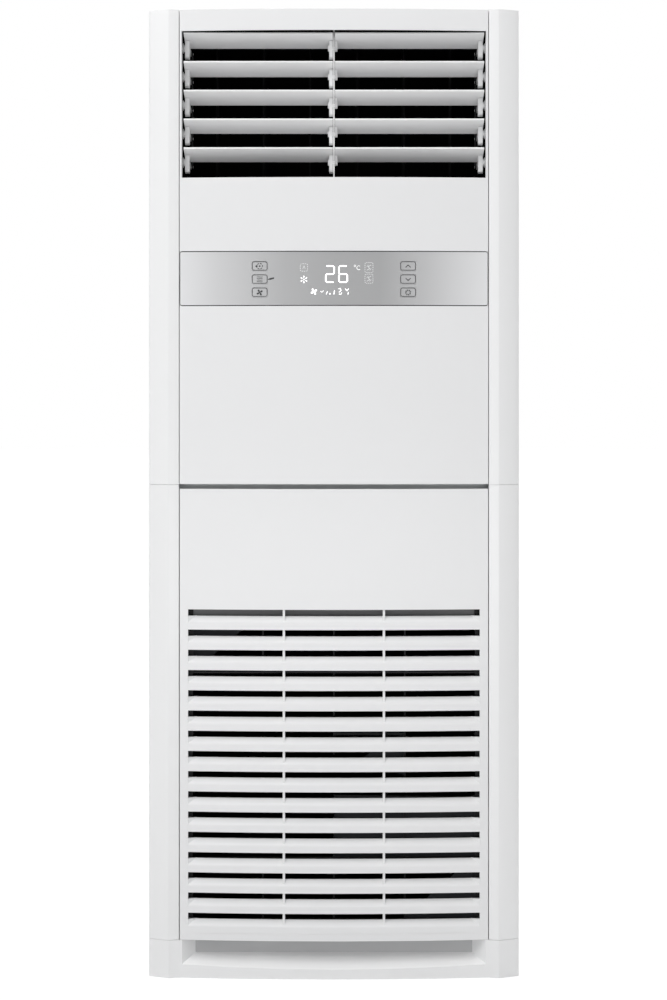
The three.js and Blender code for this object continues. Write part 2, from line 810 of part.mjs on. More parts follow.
/** The outlet frame: a duct with pivot lugs on its side walls and a thin rib at its middle. */
function outletFrame() {
  const outer = rectangle(-outletHalf - ductWall, outletHalf + ductWall, ductFloor - ductWall,
    ductCeiling + ductWall);
  const inner = rectangle(-outletHalf, outletHalf, ductFloor, ductCeiling);
  const duct = inward(outer, ductFrontY, ductBackY, [inner]);
  const rib = block(-ribThickness / 2, ribThickness / 2, pivotY - 13, pivotY + 30, ductFloor - 1,
    ductCeiling + 1);
  const lugs = [];
  const eyes = [];
  for (let row = 0; row < louvreRows; row += 1) {
    const z = pivotZ(row);
    for (const side of [-1, 1]) {
      const wallX = side * outletHalf;
      const lugX = wallX - side * 1.2;
      lugs.push(rod('x', 9, Math.min(lugX, wallX + side), Math.max(lugX, wallX + side), pivotY, z, 10));
    }
    eyes.push(rod('x', pivotPinRadius + turningGap, -halfWidth, halfWidth, pivotY, z, 8));
  }
  const vaneEyes = [];
  for (let index = 0; index < vaneCount; index += 1) {
    const x = vaneX(index);
    vaneEyes.push(rod('z', vanePinRadius + turningGap, ductFloor - 5, ductFloor + 1, x, vaneY, 8));
    vaneEyes.push(rod('z', vanePinRadius + turningGap, ductCeiling - 1, ductCeiling + 5, x, vaneY, 8));
  }
  return cut(join(duct, rib, lugs), eyes, vaneEyes);
}

place('outlet_frame', outletFrame(), whiteMoulding);

/** The blade's section about its pivot, [back, up], with a rounded nose and a thin tail. */
function bladeSection() {
  const tilt = THREE.MathUtils.degToRad(bladeTilt);
  const along = new THREE.Vector2(Math.cos(tilt), -Math.sin(tilt));
  const up = new THREE.Vector2(Math.sin(tilt), Math.cos(tilt));
  const nose = new THREE.Vector2(-pivotSetback, pivotDrop);
  const at = (run, rise) => {
    const point = nose.clone().addScaledVector(along, run).addScaledVector(up, rise);
    return [point.x, point.y];
  };
  return [
    at(1, 0),
    at(0.2, -bladeNose * 0.25),
    at(0, -bladeNose * 0.55),
    at(0.5, -bladeNose * 0.9),
    at(1.8, -bladeNose),
    at(bladeChord * 0.5, -bladeNose * 0.7 - 0.6),
    at(bladeChord, -bladeTail),
    at(bladeChord, 0),
    at(bladeChord * 0.5, 0.6),
  ];
}

/** An ear's side outline about its pivot, hanging from the blade to a round foot. */
function earSection(reach) {
  const half = earWidth / 2;
  const footRadius = Math.min(half, reach);
  const top = pivotDrop - pivotSetback * Math.tan(THREE.MathUtils.degToRad(bladeTilt)) - 2;
  const foot = arc(0, footRadius - reach, footRadius, 180, 360, 5);
  return [[half, top - 2], [-half, top], ...foot];
}

/** The lever that reaches back from an outer ear to the link pin. */
function leverSection() {
  const tip = arc(linkArm, -linkDrop, linkPinRadius + 2.4, -80, 100, 3);
  return [[0, -6], ...tip, [0, 5]];
}

/** One right-hand louvre half about its pivot axis, with its ears, collar and pins. */
function louvreHalf(shortInner) {
  const blade = across(bladeSection(), louvreInnerX, louvreOuterX);
  const earOuterX = louvreOuterX - 0.8;
  const earInnerX = earOuterX - earThickness;
  const outerEar = across(earSection(earReach), earInnerX, earOuterX);
  const lever = across(leverSection(), earInnerX, earInnerX + 4);
  const innerEarX = louvreInnerX + (shortInner ? 4 : 6.5);
  const innerEar = across(earSection(shortInner ? shortEarReach : earReach), louvreInnerX, innerEarX);
  const innerHub = rod('x', 5.5, innerEarX - 1, innerEarX + (shortInner ? 0.5 : 2.2), 0, 0, 10);
  const collar = rod('x', collarRadius, earOuterX - 1, outletHalf - 1.6, 0, 0, 10);
  const outerPin = rod('x', pivotPinRadius, earOuterX - 1, outletHalf + 2.2, 0, 0, 8);
  const innerPin = rod('x', pivotPinRadius, 0.25, louvreInnerX + 1, 0, 0, 8);
  const linkPin = rod('x', linkPinRadius, linkBarOuterX - linkBarThickness - 0.5, earInnerX + 1,
    linkArm, -linkDrop, 8);
  return join(blade, outerEar, lever, innerEar, innerHub, collar, outerPin, innerPin, linkPin);
}

/** The bar that joins the link pins of one half's louvres, about the top pin. */
function louvreLinkBar() {
  const half = linkBarWidth / 2;
  const length = (louvreRows - 1) * louvrePitch;
  const line = [...arc(0, 0, half, 0, 180, 4), ...arc(0, -length, half, 180, 360, 4)];
  const eyes = Array.from({ length: louvreRows }, (_, row) => (
    arc(0, -row * louvrePitch, linkPinRadius + turningGap, 0, 360, 8).slice(0, -1)
  ));
  return across(line, linkBarOuterX - linkBarThickness, linkBarOuterX, eyes);
}

for (const side of [-1, 1]) {
  const name = side < 0 ? 'left' : 'right';
  const half = onSide(side, louvreHalf(side > 0));
  for (let row = 0; row < louvreRows; row += 1) {
    place(`${name}_louvre_${row + 1}`, half, louvreMoulding, unit, [0, pivotY, pivotZ(row)]);
  }
  const bar = onSide(side, louvreLinkBar());
  place(`${name}_link_bar`, bar, louvreMoulding, unit, [0, pivotY + linkArm, pivotZ(0) - linkDrop]);
}

/** An upright vane about its pivot, with its pins and the post that the link bar turns. */
function vane() {
  const half = vaneThickness / 2;
  const front = -vaneChord / 2;
  const back = vaneChord / 2;
  const plan = [[0.4, front], [half, front + 8], [half, 6], [0.4, back], [-0.4, back], [-half, 6],
    [-half, front + 8], [-0.4, front]];
  const leaf = raised(plan, vaneBottom, vaneTop);
  const hub = rod('z', vanePinRadius + 1, vaneBottom, vaneTop, 0, 0, 6);
  const lowerPin = rod('z', vanePinRadius, ductFloor - 2, vaneBottom + 1, 0, 0, 8);
  const upperPin = rod('z', vanePinRadius, vaneTop - 1, ductCeiling + 2, 0, 0, 8);
  const post = rod('z', 1.6, ductFloor + 3, vaneBottom + 12, 0, vaneLinkArm, 6);
  return join(leaf, hub, lowerPin, upperPin, post);
}

const vaneSolid = vane();
for (let index = 0; index < vaneCount; index += 1) {
  place(`vane_${index + 1}`, vaneSolid, darkMoulding, unit, [vaneX(index), vaneY, 0]);
}

/** The bar that joins the vanes' posts. */
function vaneLinkBar() {
  const reach = vaneX(vaneCount - 1);
  const y = vaneY + vaneLinkArm;
  const line = [...arc(reach, y, 3.6, -90, 90, 4), ...arc(-reach, y, 3.6, 90, 270, 4)];
  const eyes = Array.from({ length: vaneCount }, (_, index) => (
    arc(vaneX(index), y, 1.6 + turningGap, 0, 360, 8).slice(0, -1)
  ));
  const fromZ = ductFloor + 5;
  return raised(line, fromZ, fromZ + vaneLinkThickness, eyes);
}

place('vane_link_bar', vaneLinkBar(), darkMoulding);

/** The swing motor under the duct, its shaft in line with the first vane's pin. */
function swingMotor() {
  const top = ductFloor - ductWall - seatGap;
  const x = vaneX(0);
  const can = rod('z', swingMotorRadius, top - swingMotorHeight, top, x, vaneY, 20);
  const tabs = raised(roundedRectangle(x - 22, x + 22, vaneY - 4, vaneY + 4, 3.9), top - 1.2, top);
  const shaft = rod('z', vanePinRadius, top - 1, ductFloor - 2 - seatGap, x, vaneY, 12);
  return join(can, tabs, shaft);
}

place('swing_motor', swingMotor(), motorSteel);

// ---------------------------------------------------------------- intake panel

const slotTop = (slot) => firstSlotTop - slot * slotPitch;
const stripTop = (slot) => slotTop(slot) - slotPitch + stripHeight;

/** A scoop that rises behind the front from the top of the strip below a slot. */
function scoop(slot) {
  const top = stripTop(slot);
  const rise = slotPitch - stripHeight - slotHeight;
  const slope = new THREE.Vector2(scoopDepth - stripLedge, rise).normalize();
  const start = [stripLedge - slope.x, top - slope.y];
  const profile = [
    start,
    [start[0] + slope.y * scoopWall, start[1] - slope.x * scoopWall],
    [scoopDepth + slope.y * scoopWall, top + rise - slope.x * scoopWall],
    [scoopDepth, top + rise],
  ];
  return bowed(profile, -slotHalf - 0.4, slotHalf + 0.4);
}

/** The slanted wall that closes a scoop at its end. */
function scoopEnd(slot, side) {
  const z = stripTop(slot);
  const rise = slotPitch - stripHeight - slotHeight;
  const outer = side * (slotHalf + 0.5);
  const inner = side * (slotHalf - scoopEndRun);
  const corners = [0, scoopWall].flatMap((thickness) => [
    new THREE.Vector3(outer, frontSurface(outer) + edgeGap + thickness, z - 0.5),
    new THREE.Vector3(outer, frontSurface(outer) + edgeGap + thickness, z + rise + 0.3),
    new THREE.Vector3(inner, frontSurface(inner) + scoopDepth - 0.5 + thickness, z + rise + 0.3),
  ]);
  return toSolid(new ConvexGeometry(corners));
}

/** The channels and stops on the panel's back that hold the filter. */
function filterChannels() {
  const pieces = [];
  const edge = filterHalf;
  const lipDepth = 6;
  const back = filterY + filterThickness;
  const bottom = filterBottom - 2.5;
  const top = filterBottom + filterHeight * 0.96;
  for (const side of [-1, 1]) {
    const wallFrom = side > 0 ? edge + 0.5 : -edge - 2.9;
    const wallFrontY = frontSurface(edge) + 2;
    pieces.push(block(wallFrom, wallFrom + 2.4, wallFrontY, back + 2.1, bottom, top));
    const lipFrom = side > 0 ? edge - lipDepth : -edge - 2;
    pieces.push(block(lipFrom, lipFrom + lipDepth + 2, filterY - 2.1, filterY - 0.5, bottom, top));
    pieces.push(block(lipFrom, lipFrom + lipDepth + 2, back + 0.5, back + 2.1, bottom, top));
    pieces.push(block(lipFrom, lipFrom + lipDepth + 2, filterY - 2.1, back + 2.1, bottom, filterBottom - seatGap));
  }
  return pieces;
}

/** The panel's two hinge lugs, each with a pin through it. */
function hingeLugs() {
  return [-1, 1].flatMap((side) => {
    const x = side * hingeOffset;
    const front = frontSurface(x) + 1.5;
    const eye = arc(hingeY, hingeHeight, hingePinRadius + hookWall, -80, 90, 5);
    const line = [[front, intakeBottom + 1], ...eye, [front, hingeHeight + 14]];
    return [
      across(line, x - 4, x + 4),
      rod('x', hingePinRadius, x - 10.5, x + 10.5, hingeY, hingeHeight, 14),
    ];
  });
}

/** The intake panel: a bowed wall with flanges, sixteen scooped slots, two ribs and its fittings. */
function intakePanel() {
  const skin = bowed(rectangle(0, mouldedWall, intakeBottom, intakeTop), -intakeHalf, intakeHalf);
  const flangeStart = frontSurface(intakeHalf) + 1;
  const sides = [-1, 1].map((side) => {
    const from = side > 0 ? intakeHalf - 2.4 : -intakeHalf;
    return block(from, from + 2.4, flangeStart, flangeBackY - 1, intakeBottom + flangeStep,
      intakeTop - flangeStep);
  });
  const head = bowed(rectangle(1, flangeDepth, intakeTop - mouldedWall, intakeTop), -intakeHalf, intakeHalf);
  const foot = bowed(rectangle(1, 8, intakeBottom, intakeBottom + 2.5), -intakeHalf, intakeHalf);
  const stiffener = bowed(
    rectangle(2, 10, firstSlotTop + 100, firstSlotTop + 102),
    -intakeHalf + 1,
    intakeHalf - 1,
  );
  const windowBottom = stripTop(slotCount - 1);
  const footRelief = [-1, 1].map((side) => (
    block(side * hingeOffset - 13, side * hingeOffset + 13, frontSurface(hingeOffset) + mouldedWall, flangeBackY,
      intakeBottom - 1, intakeBottom + 2.6)
  ));
  const slots = [];
  const scoops = [];
  for (let slot = 0; slot < slotCount; slot += 1) {
    slots.push(block(-slotHalf, slotHalf, frontY - 5, seamY + 8, stripTop(slot), slotTop(slot)));
    scoops.push(scoop(slot), scoopEnd(slot, -1), scoopEnd(slot, 1));
  }
  const ribs = [-1, 1].map((side) => {
    const x = side * gridRibOffset;
    const from = frontSurface(gridRibOffset) + 2;
    return block(x - gridRibThickness / 2, x + gridRibThickness / 2, from, from + 10, windowBottom - 4,
      firstSlotTop + 4);
  });
  const shell = cut(join(skin, sides, head, foot, stiffener), slots, footRelief);
  return join(shell, scoops, ribs, filterChannels(), hingeLugs());
}

place('intake_panel', intakePanel(), whiteMoulding);

/** The filter's frame: a thin moulded grid. */
function filterFrame() {
  const half = filterHalf;
  const columns = 4;
  const rows = 5;
  const cellWidth = (2 * half - 2 * filterRim - (columns - 1) * filterRib) / columns;
  const cellHeight = (filterHeight - 2 * filterRim - (rows - 1) * filterRib) / rows;
  const holes = [];
  for (let column = 0; column < columns; column += 1) {
    for (let row = 0; row < rows; row += 1) {
      const x = -half + filterRim + column * (cellWidth + filterRib);
      const z = filterBottom + filterRim + row * (cellHeight + filterRib);
      holes.push(block(x, x + cellWidth, filterY - 1, filterY + filterThickness + 1, z, z + cellHeight));
    }
  }
  const rim = block(-half, half, filterY, filterY + filterThickness, filterBottom, filterBottom + filterHeight);
  return cut(rim, holes);
}

place('filter_frame', filterFrame(), darkMoulding);

/** The filter's net, a thin sheet behind the frame. */
function filterNetSheet() {
  const half = filterHalf - 8;
  const y = filterY + filterThickness + seatGap;
  return block(-half, half, y, y + filterNet, filterBottom + 8, filterBottom + filterHeight - 8);
}

place('filter_net', filterNetSheet(), netGrey);

// ---------------------------------------------------------------- fan

/** The scroll's outline in x and z: a spiral that opens into a straight outlet at the top. */
function scrollOutline(grow, topZ) {
  const startAngle = 60;
  const endAngle = -180;
  const steps = 15;
  const points = [];
  for (let step = 0; step <= steps; step += 1) {
    const angle = startAngle + ((endAngle - startAngle) * step) / steps;
    const radius = scrollStart + (scrollGrowth * (startAngle - angle)) / 360 + grow;
    const turn = THREE.MathUtils.degToRad(angle);
    points.push([fanCentreX + radius * Math.cos(turn), fanCentreHeight + radius * Math.sin(turn)]);
  }
  const first = points[0];
  const last = points[points.length - 1];
  return [[first[0] + 12, topZ], ...points, [last[0], topZ]];
}

/** The scroll housing: thin walls, an inlet in front, a shaft hole behind and its outlet on top. */
function scrollHousing() {
  const wall = 2;
  const top = deckHeight - sheetWall - seatGap;
  const outer = inward(scrollOutline(wall, top), scrollFrontY, scrollBackY);
  const inner = inward(scrollOutline(0, top + 5), scrollFrontY + wall, scrollBackY - wall);
  const inlet = rod('y', throatRadius + 18, scrollFrontY - 5, scrollFrontY + 5, fanCentreX, fanCentreHeight, 28);
  const shaftHole = rod('y', 30, scrollBackY - 5, scrollBackY + 5, fanCentreX, fanCentreHeight, 14);
  return cut(outer, inner, inlet, shaftHole);
}

place('scroll_housing', scrollHousing(), zincSheet);

const wheelFrontY = scrollFrontY + 12;
const wheelBackY = wheelFrontY + wheelWidth;

/** The inlet ring: a turned bell mouth that leads the air into the wheel. */
function inletRing() {
  const flange = throatRadius + 34;
  const flangeY = scrollFrontY - seatGap;
  const profile = [
    [throatRadius, wheelFrontY + 4],
    [throatRadius + 2, wheelFrontY + 4],
    [throatRadius + 4, flangeY + 4],
    [throatRadius + 14, flangeY],
    [flange, flangeY],
    [flange, flangeY - 1.6],
    [throatRadius + 22, flangeY - 1.6],
    [throatRadius + 16, flangeY - 9],
    [throatRadius + 9, flangeY - 9],
    [throatRadius + 3, flangeY - 3],
    [throatRadius, wheelFrontY + 4],
  ].reverse();
  return turnedOnY(profile, fanCentreX, fanCentreHeight, 22);
}

place('inlet_ring', inletRing(), zincSheet);

/** One forward-curved blade of the wheel, in x and z about the wheel's axis. */
function wheelBlade(index) {
  const inner = throatRadius + 6;
  const outer = wheelRadius - 1;
  const curve = 2;
  const line = Array.from({ length: curve + 1 }, (_, step) => {
    const share = step / curve;
    const radius = THREE.MathUtils.lerp(inner, outer, share);
    const turn = (index * 2 * Math.PI) / bladeCount + 0.16 * share ** 2;
    return [radius * Math.cos(turn), radius * Math.sin(turn)];
  });
  return inward(folded(line, bladeThickness), wheelFrontY + 1, wheelBackY - 1);
}

/** The centrifugal wheel about its axis: back disc, hub, blades and front ring. */
function fanWheel() {
  const disc = rod('y', wheelRadius, wheelBackY - 3, wheelBackY, 0, 0, 24);
  const hub = rod('y', 24, wheelBackY - 44, wheelBackY - 1, 0, 0, 14);
  const ring = cut(
    rod('y', wheelRadius, wheelFrontY, wheelFrontY + 4, 0, 0, 24),
    rod('y', throatRadius + 8, wheelFrontY - 1, wheelFrontY + 5, 0, 0, 24),
  );
  const blades = Array.from({ length: bladeCount }, (_, index) => wheelBlade(index));
  const bore = rod('y', shaftRadius + turningGap, wheelBackY - 50, wheelBackY + 5, 0, 0, 14);
  return cut(join(disc, hub, ring, blades), bore);
}

place('fan_wheel', fanWheel(), darkMoulding, unit, [fanCentreX, 0, fanCentreHeight]);

const bracketY = scrollBackY + seatGap;
const motorFrontY = bracketY + sheetWall + seatGap;

/** The motor: a can with cooling ribs and the shaft that carries the wheel. */
function fanMotor() {
  const profile = [
    [0, wheelBackY - 40],
    [shaftRadius, wheelBackY - 40],
    [shaftRadius, motorFrontY],
    [motorRadius - 8, motorFrontY],
    [motorRadius, motorFrontY + 8],
    [motorRadius, motorFrontY + motorLength - 10],
    [motorRadius - 12, motorFrontY + motorLength],
    [0, motorFrontY + motorLength],
  ];
  return turnedOnY(profile, fanCentreX, fanCentreHeight, 20);
}

place('fan_motor', fanMotor(), motorSteel);

/** The motor bracket: a plate with three arms on the back of the scroll. */
function motorBracket() {
  const arms = [90, 210, 330].map((angle) => {
    const half = motorArmWidth / 2;
    const plan = roundedRectangle(-14, motorArmReach, -half, half, 6);
    const arm = toGeometry(inward(plan, bracketY, bracketY + sheetWall));
    arm.rotateY(-THREE.MathUtils.degToRad(angle));
    return toSolid(arm);
  });
  const plate = rod('y', motorPlateRadius, bracketY, bracketY + sheetWall, 0, 0, 20);
  const hole = rod('y', 14, bracketY - 5, bracketY + 5, 0, 0, 14);
  return moved(cut(join(plate, arms), hole), fanCentreX, 0, fanCentreHeight);
}

place('motor_bracket', motorBracket(), zincSheet);

// ---------------------------------------------------------------- coil space

/** The fan deck: a folded sheet with the scroll's outlet, the pipe holes and the drain hole. */
function fanDeck() {
  const lip = 18;
  const line = [
    [baffleY + sheetWall + seatGap, deckHeight - lip],
    [baffleY + sheetWall + seatGap, deckHeight],
    [backY - 8, deckHeight],
    [backY - 8, deckHeight - lip],
  ];
  const sheet = across(folded(line, -sheetWall), -sheetReach, sheetReach);
  const plan = scrollOutline(0, deckHeight);
  const right = plan[0][0];
  const left = plan[plan.length - 1][0];
  const outlet = block(left, right, scrollFrontY + 2, scrollBackY - 2, deckHeight - 5, deckHeight + 5);
  const holes = [
    rod('z', gasPipeRadius + 0.6, deckHeight - 5, deckHeight + 5, pipeX, gasPipeY, 16),
    rod('z', liquidPipeRadius + 0.6, deckHeight - 5, deckHeight + 5, pipeX, liquidPipeY, 16),
    rod('z', 10.5, deckHeight - 5, deckHeight + 5, drainX, (coilFootY - 12 + panBackY) / 2, 16),
  ];
  return cut(sheet, outlet, holes);
}

place('fan_deck', fanDeck(), zincSheet);

/** The front baffle: a sheet that closes the coil space behind the front panel. */
function frontBaffle() {
  const top = ductFloor - ductWall - seatGap - swingMotorHeight - 2;
  const line = [
    [baffleY, deckHeight - 16],
    [baffleY, top],
    [baffleY + baffleShelf, top],
  ];
  return across(folded(line, -sheetWall), -sheetReach, sheetReach);
}

place('front_baffle', frontBaffle(), zincSheet);

const coilTurn = -THREE.MathUtils.degToRad(coilLean);
const coilFootZ = deckHeight + seatGap + panWall + 4 - (coilThickness + plateLip) * Math.sin(coilTurn);

/** Turns a solid made along the coil's own length and thickness to its lean and place. */
function leant(solid) {
  const geometry = toGeometry(solid);
  geometry.rotateX(coilTurn);
  geometry.translate(0, coilFootY, coilFootZ);
  return toSolid(geometry);
}

const tubeHeight = (row) => 40 + (row * (coilLength - 80)) / (tubeRows - 1);
const tubeDepths = [coilThickness * 0.28, coilThickness * 0.72];
const tubeReach = coilHalfWidth + 8;
const plateX = coilHalfWidth + seatGap;

/** The end of a coil tube on the right, where a service pipe meets it. */
function tubeEnd(row, depth) {
  const place = new THREE.Vector3(tubeReach, depth, tubeHeight(row));
  return place.applyAxisAngle(new THREE.Vector3(1, 0, 0), coilTurn).add(new THREE.Vector3(0, coilFootY, coilFootZ));
}

/** The evaporator coil: a finned slab with tubes through its ends and return bends. */
function evaporatorCoil() {
  const step = (2 * coilHalfWidth) / finGroups;
  const tooth = 3;
  const front = [];
  const back = [];
  for (let group = 0; group < finGroups; group += 1) {
    const x = -coilHalfWidth + group * step;
    front.push([x, 0], [x + step * 0.7, 0], [x + step * 0.7, tooth], [x + step, tooth]);
    back.push([x, coilThickness], [x + step * 0.7, coilThickness], [x + step * 0.7, coilThickness - tooth],
      [x + step, coilThickness - tooth]);
  }
  const slab = raised([...front, ...back.reverse()], 0, coilLength);
  const tubes = [];
  for (let row = 0; row < tubeRows; row += 1) {
    for (const depth of tubeDepths) {
      tubes.push(rod('x', tubeRadius, -tubeReach, tubeReach, depth, tubeHeight(row), 6));
    }
  }
  for (let row = 0; row < tubeRows - 1; row += 2) {
    for (const depth of tubeDepths) {
      const x = coilHalfWidth + 7;
      const low = tubeHeight(row);
      const high = tubeHeight(row + 1);
      const bulge = [x + 14, depth, (low + high) / 2];
      tubes.push(tube([[x, depth, low], [x + 10, depth, low + 12], bulge, [x + 10, depth, high - 12],
        [x, depth, high]], tubeRadius - 0.6, 5, 5));
    }
  }
  return leant(join(slab, tubes));
}

place('evaporator_coil', evaporatorCoil(), coilMetal);

/** A coil end plate: punched sheet with feet that reach the side panel. */
function coilEndPlate() {
  const sheet = raised(rectangle(plateX, plateX + sheetWall, -plateLip, coilThickness + plateLip), -2,
    coilLength + 2);
  const feet = [(tubeHeight(1) + tubeHeight(2)) / 2, coilLength + 0.5].map((z) => (
    raised(rectangle(plateX, sheetReach, -plateLip, coilThickness + plateLip), z, z + sheetWall)
  ));
  const holes = [];
  for (let row = 0; row < tubeRows; row += 1) {
    for (const depth of tubeDepths) {
      holes.push(rod('x', tubeRadius + edgeGap, plateX - 2, plateX + 4, depth, tubeHeight(row), 6));
    }
  }
  return leant(cut(join(sheet, feet), holes));
}

place('coil_end_plate_left', mirrored(coilEndPlate()), zincSheet);
place('coil_end_plate_right', coilEndPlate(), zincSheet);

/** The drain pan under the coil's foot. */
function drainPan() {
  const reach = sheetReach - 2;
  const front = coilFootY - 12;
  const floor = deckHeight + seatGap;
  const outer = block(-reach, reach, front, panBackY, floor, floor + panHeight);
  const inner = block(-reach + panWall, reach - panWall, front + panWall, panBackY - panWall, floor + panWall,
    floor + panHeight + 5);
  const drain = rod('z', 7, floor - 5, floor + 5, drainX, (front + panBackY) / 2, 16);
  return cut(outer, inner, drain);
}

place('drain_pan', drainPan(), darkMoulding);

/** The drain spout: a flanged tube that hangs through the deck under the pan. */
function drainSpout() {
  const y = (coilFootY - 12 + panBackY) / 2;
  const profile = [
    [7, -60],
    [9.5, -60],
    [9.5, -seatGap + 0.2],
    [7, -seatGap + 0.2],
    [7, -60],
  ];
  const geometry = new THREE.LatheGeometry(profile.map(([r, z]) => new THREE.Vector2(r, z)), 16);
  return toSolid(geometry.rotateX(Math.PI / 2).translate(drainX, y, deckHeight));
}

place('drain_spout', drainSpout(), darkMoulding);

/** A pipe from a coil tube down the cabinet's back corner to the service opening. */
function servicePipe(depth, y, radius, endX) {
  const start = tubeEnd(tubeRows - 1, depth);
  const drop = Math.abs(y - start.y);
  return tube([
    [start.x + seatGap, start.y, start.z],
    [pipeX - 6, start.y, start.z],
    [pipeX, start.y + drop * 0.35, start.z - 12],
    [pipeX, y - drop * 0.12, start.z - 60],
    [pipeX, y, start.z - 150],
    [pipeX, y, deckHeight + 60],
    [pipeX, y, deckHeight],
    [pipeX, y, 300],
    [pipeX - 6, y + 4, 215],
    [(pipeX + endX) / 2, y + 10, serviceHoleZ + 16],
    [endX + 6, y + 14, serviceHoleZ],
    [endX - 16, y + 14, serviceHoleZ],
  ], radius, 26, 7);
}

place('gas_pipe', servicePipe(tubeDepths[1], gasPipeY, gasPipeRadius, serviceHoleX), copper);
place('liquid_pipe', servicePipe(tubeDepths[0], liquidPipeY, liquidPipeRadius, serviceHoleX), copper);

/** The foam lining round the sides and back of the space behind the outlet. */
function chamberLining() {
  const back = sideBackY - sheetWall - swageDepth;
  const front = ductBackY + 10;
  const plan = [[sheetReach, front], [sheetReach, back], [-sheetReach, back], [-sheetReach, front]];
  return raised(folded(plan, liningThickness), liningBottom, sideTop - coverSkirt / 2);
}

place('chamber_lining', chamberLining(), darkMoulding);

// ---------------------------------------------------------------- electrical box

const boxBottom = THREE.MathUtils.lerp(upperPanelBottom, bandBottom, 0.12);
const boxBackY = baffleY - seatGap - sheetWall;

/** The electrical box: an open tray with a folded rim, on the front baffle. */
function electricalBox() {
  const half = boxWidth / 2;
  const back = baffleY - seatGap;
  const outer = block(-half, half, back - boxDepth, back, boxBottom, boxBottom + boxHeight);
  const inner = block(-half + sheetWall, half - sheetWall, back - boxDepth - 5, boxBackY,
    boxBottom + sheetWall, boxBottom + boxHeight - sheetWall);
  return cut(outer, inner);
}

place('electrical_box', electricalBox(), zincSheet);

/** The electrical box's cover: sheet with a row of vent slots. */
function electricalBoxCover() {
  const half = boxWidth / 2;
  const y = baffleY - seatGap - boxDepth - seatGap;
  const slots = Array.from({ length: 8 }, (_, index) => {
    const x = -105 + index * 30;
    return block(x - 3, x + 3, y - 5, y + 5, boxBottom + boxHeight - 60, boxBottom + boxHeight - 20);
  });
  return cut(block(-half, half, y - sheetWall, y, boxBottom, boxBottom + boxHeight), slots);
}

place('electrical_box_cover', electricalBoxCover(), zincSheet);

export default unit;
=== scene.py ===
"""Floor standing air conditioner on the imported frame.

Materials, smooth front forms, display, lights and camera.
"""

import json
import math

import bmesh
import bpy
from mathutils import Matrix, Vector
from mathutils.geometry import tessellate_polygon

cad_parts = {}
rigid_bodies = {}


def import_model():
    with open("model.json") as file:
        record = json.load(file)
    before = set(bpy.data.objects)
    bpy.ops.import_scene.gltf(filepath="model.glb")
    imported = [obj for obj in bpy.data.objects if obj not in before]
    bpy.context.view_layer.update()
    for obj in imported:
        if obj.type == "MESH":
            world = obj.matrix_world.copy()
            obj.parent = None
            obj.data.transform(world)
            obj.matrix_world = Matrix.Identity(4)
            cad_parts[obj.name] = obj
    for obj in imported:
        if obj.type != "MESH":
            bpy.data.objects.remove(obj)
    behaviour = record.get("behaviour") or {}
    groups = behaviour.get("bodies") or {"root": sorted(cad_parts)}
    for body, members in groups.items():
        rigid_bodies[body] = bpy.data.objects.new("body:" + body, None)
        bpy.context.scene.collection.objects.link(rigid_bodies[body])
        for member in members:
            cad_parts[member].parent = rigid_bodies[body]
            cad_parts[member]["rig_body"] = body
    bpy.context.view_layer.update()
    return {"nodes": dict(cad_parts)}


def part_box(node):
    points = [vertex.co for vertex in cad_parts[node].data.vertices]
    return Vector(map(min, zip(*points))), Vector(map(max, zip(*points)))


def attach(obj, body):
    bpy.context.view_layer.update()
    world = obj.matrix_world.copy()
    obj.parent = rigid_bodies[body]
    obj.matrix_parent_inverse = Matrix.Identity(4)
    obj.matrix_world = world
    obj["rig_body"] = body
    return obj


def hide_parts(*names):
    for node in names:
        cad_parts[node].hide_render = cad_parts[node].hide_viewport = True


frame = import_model()

MM = 0.001

# ------------------------------------------------------------------ sizes, in millimetres

# the bowed front
SEAM_GAP = 0.6
SEAM_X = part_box("upper_front_panel")[1].x / MM + SEAM_GAP
FRONT_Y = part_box("upper_front_panel")[0].y / MM
BOW = 10.0
SEAM_Y = FRONT_Y + BOW
CORNER_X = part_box("top_cover")[1].x / MM
TOP_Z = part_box("top_cover")[1].z / MM
BOW_RADIUS = (SEAM_X**2 + BOW**2) / (2 * BOW)
BOW_STEPS = 72
LEAST_STEP = 0.3

# the upper panel; a lip is the wall that runs back from its top, its bottom and the outlet's sill
PANEL_HALF = SEAM_X - SEAM_GAP
PANEL_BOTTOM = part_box("upper_front_panel")[0].z / MM
PANEL_WALL = 3.2
FLANGE = 14.0
FLANGE_WALL = 2.4
LIP = 3.0
ROOF_LAP = 1.0
OUTLET_TOP = TOP_Z - 37.3
OUTLET_BOTTOM = TOP_Z - 295.1
OUTLET_HALF = 267.5

# the silver band, the recess that it lies in and the dark bed under it, which paints the shade in the groove
# round the band
BAND_LOW, BAND_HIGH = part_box("control_band")
BAND_BOTTOM, BAND_TOP = BAND_LOW.z / MM, BAND_HIGH.z / MM
BAND_MIDDLE = (BAND_TOP + BAND_BOTTOM) / 2
BAND_HALF = BAND_HIGH.x / MM
BAND_REACH = BAND_HALF + 0.5
BAND_THICKNESS = 1.3
BAND_SEAT = BAND_THICKNESS + 0.3
BAND_GROOVE = 1.6
BAND_CORNER = 3.2
BED_FRONT, BED_BACK = BAND_THICKNESS + 0.02, BAND_THICKNESS + 0.28
BED_LAP = 1.6
BED_SLACK = 0.1
BED_CORNER = 4.4

# the keys, their windows in the band and the lines printed round them
FIRST_KEY = 25.2
KEY_PITCH = 23.0
KEY_X = 130.0
KEY_WIDTH, KEY_HEIGHT = 27.3, 16.3
KEY_GAP = 0.45
KEY_NAMES = (("mode_key", "swing_key", "fan_key"), ("up_key", "down_key", "timer_key"))
WINDOW_CORNER = 3.3
OUTLINE_WIDTH, OUTLINE_HEIGHT = KEY_WIDTH - 1.6, KEY_HEIGHT - 1.7
OUTLINE_LIFT = 0.35
OUTLINE_CORNER = 3.0
OUTLINE_STROKE = 0.9

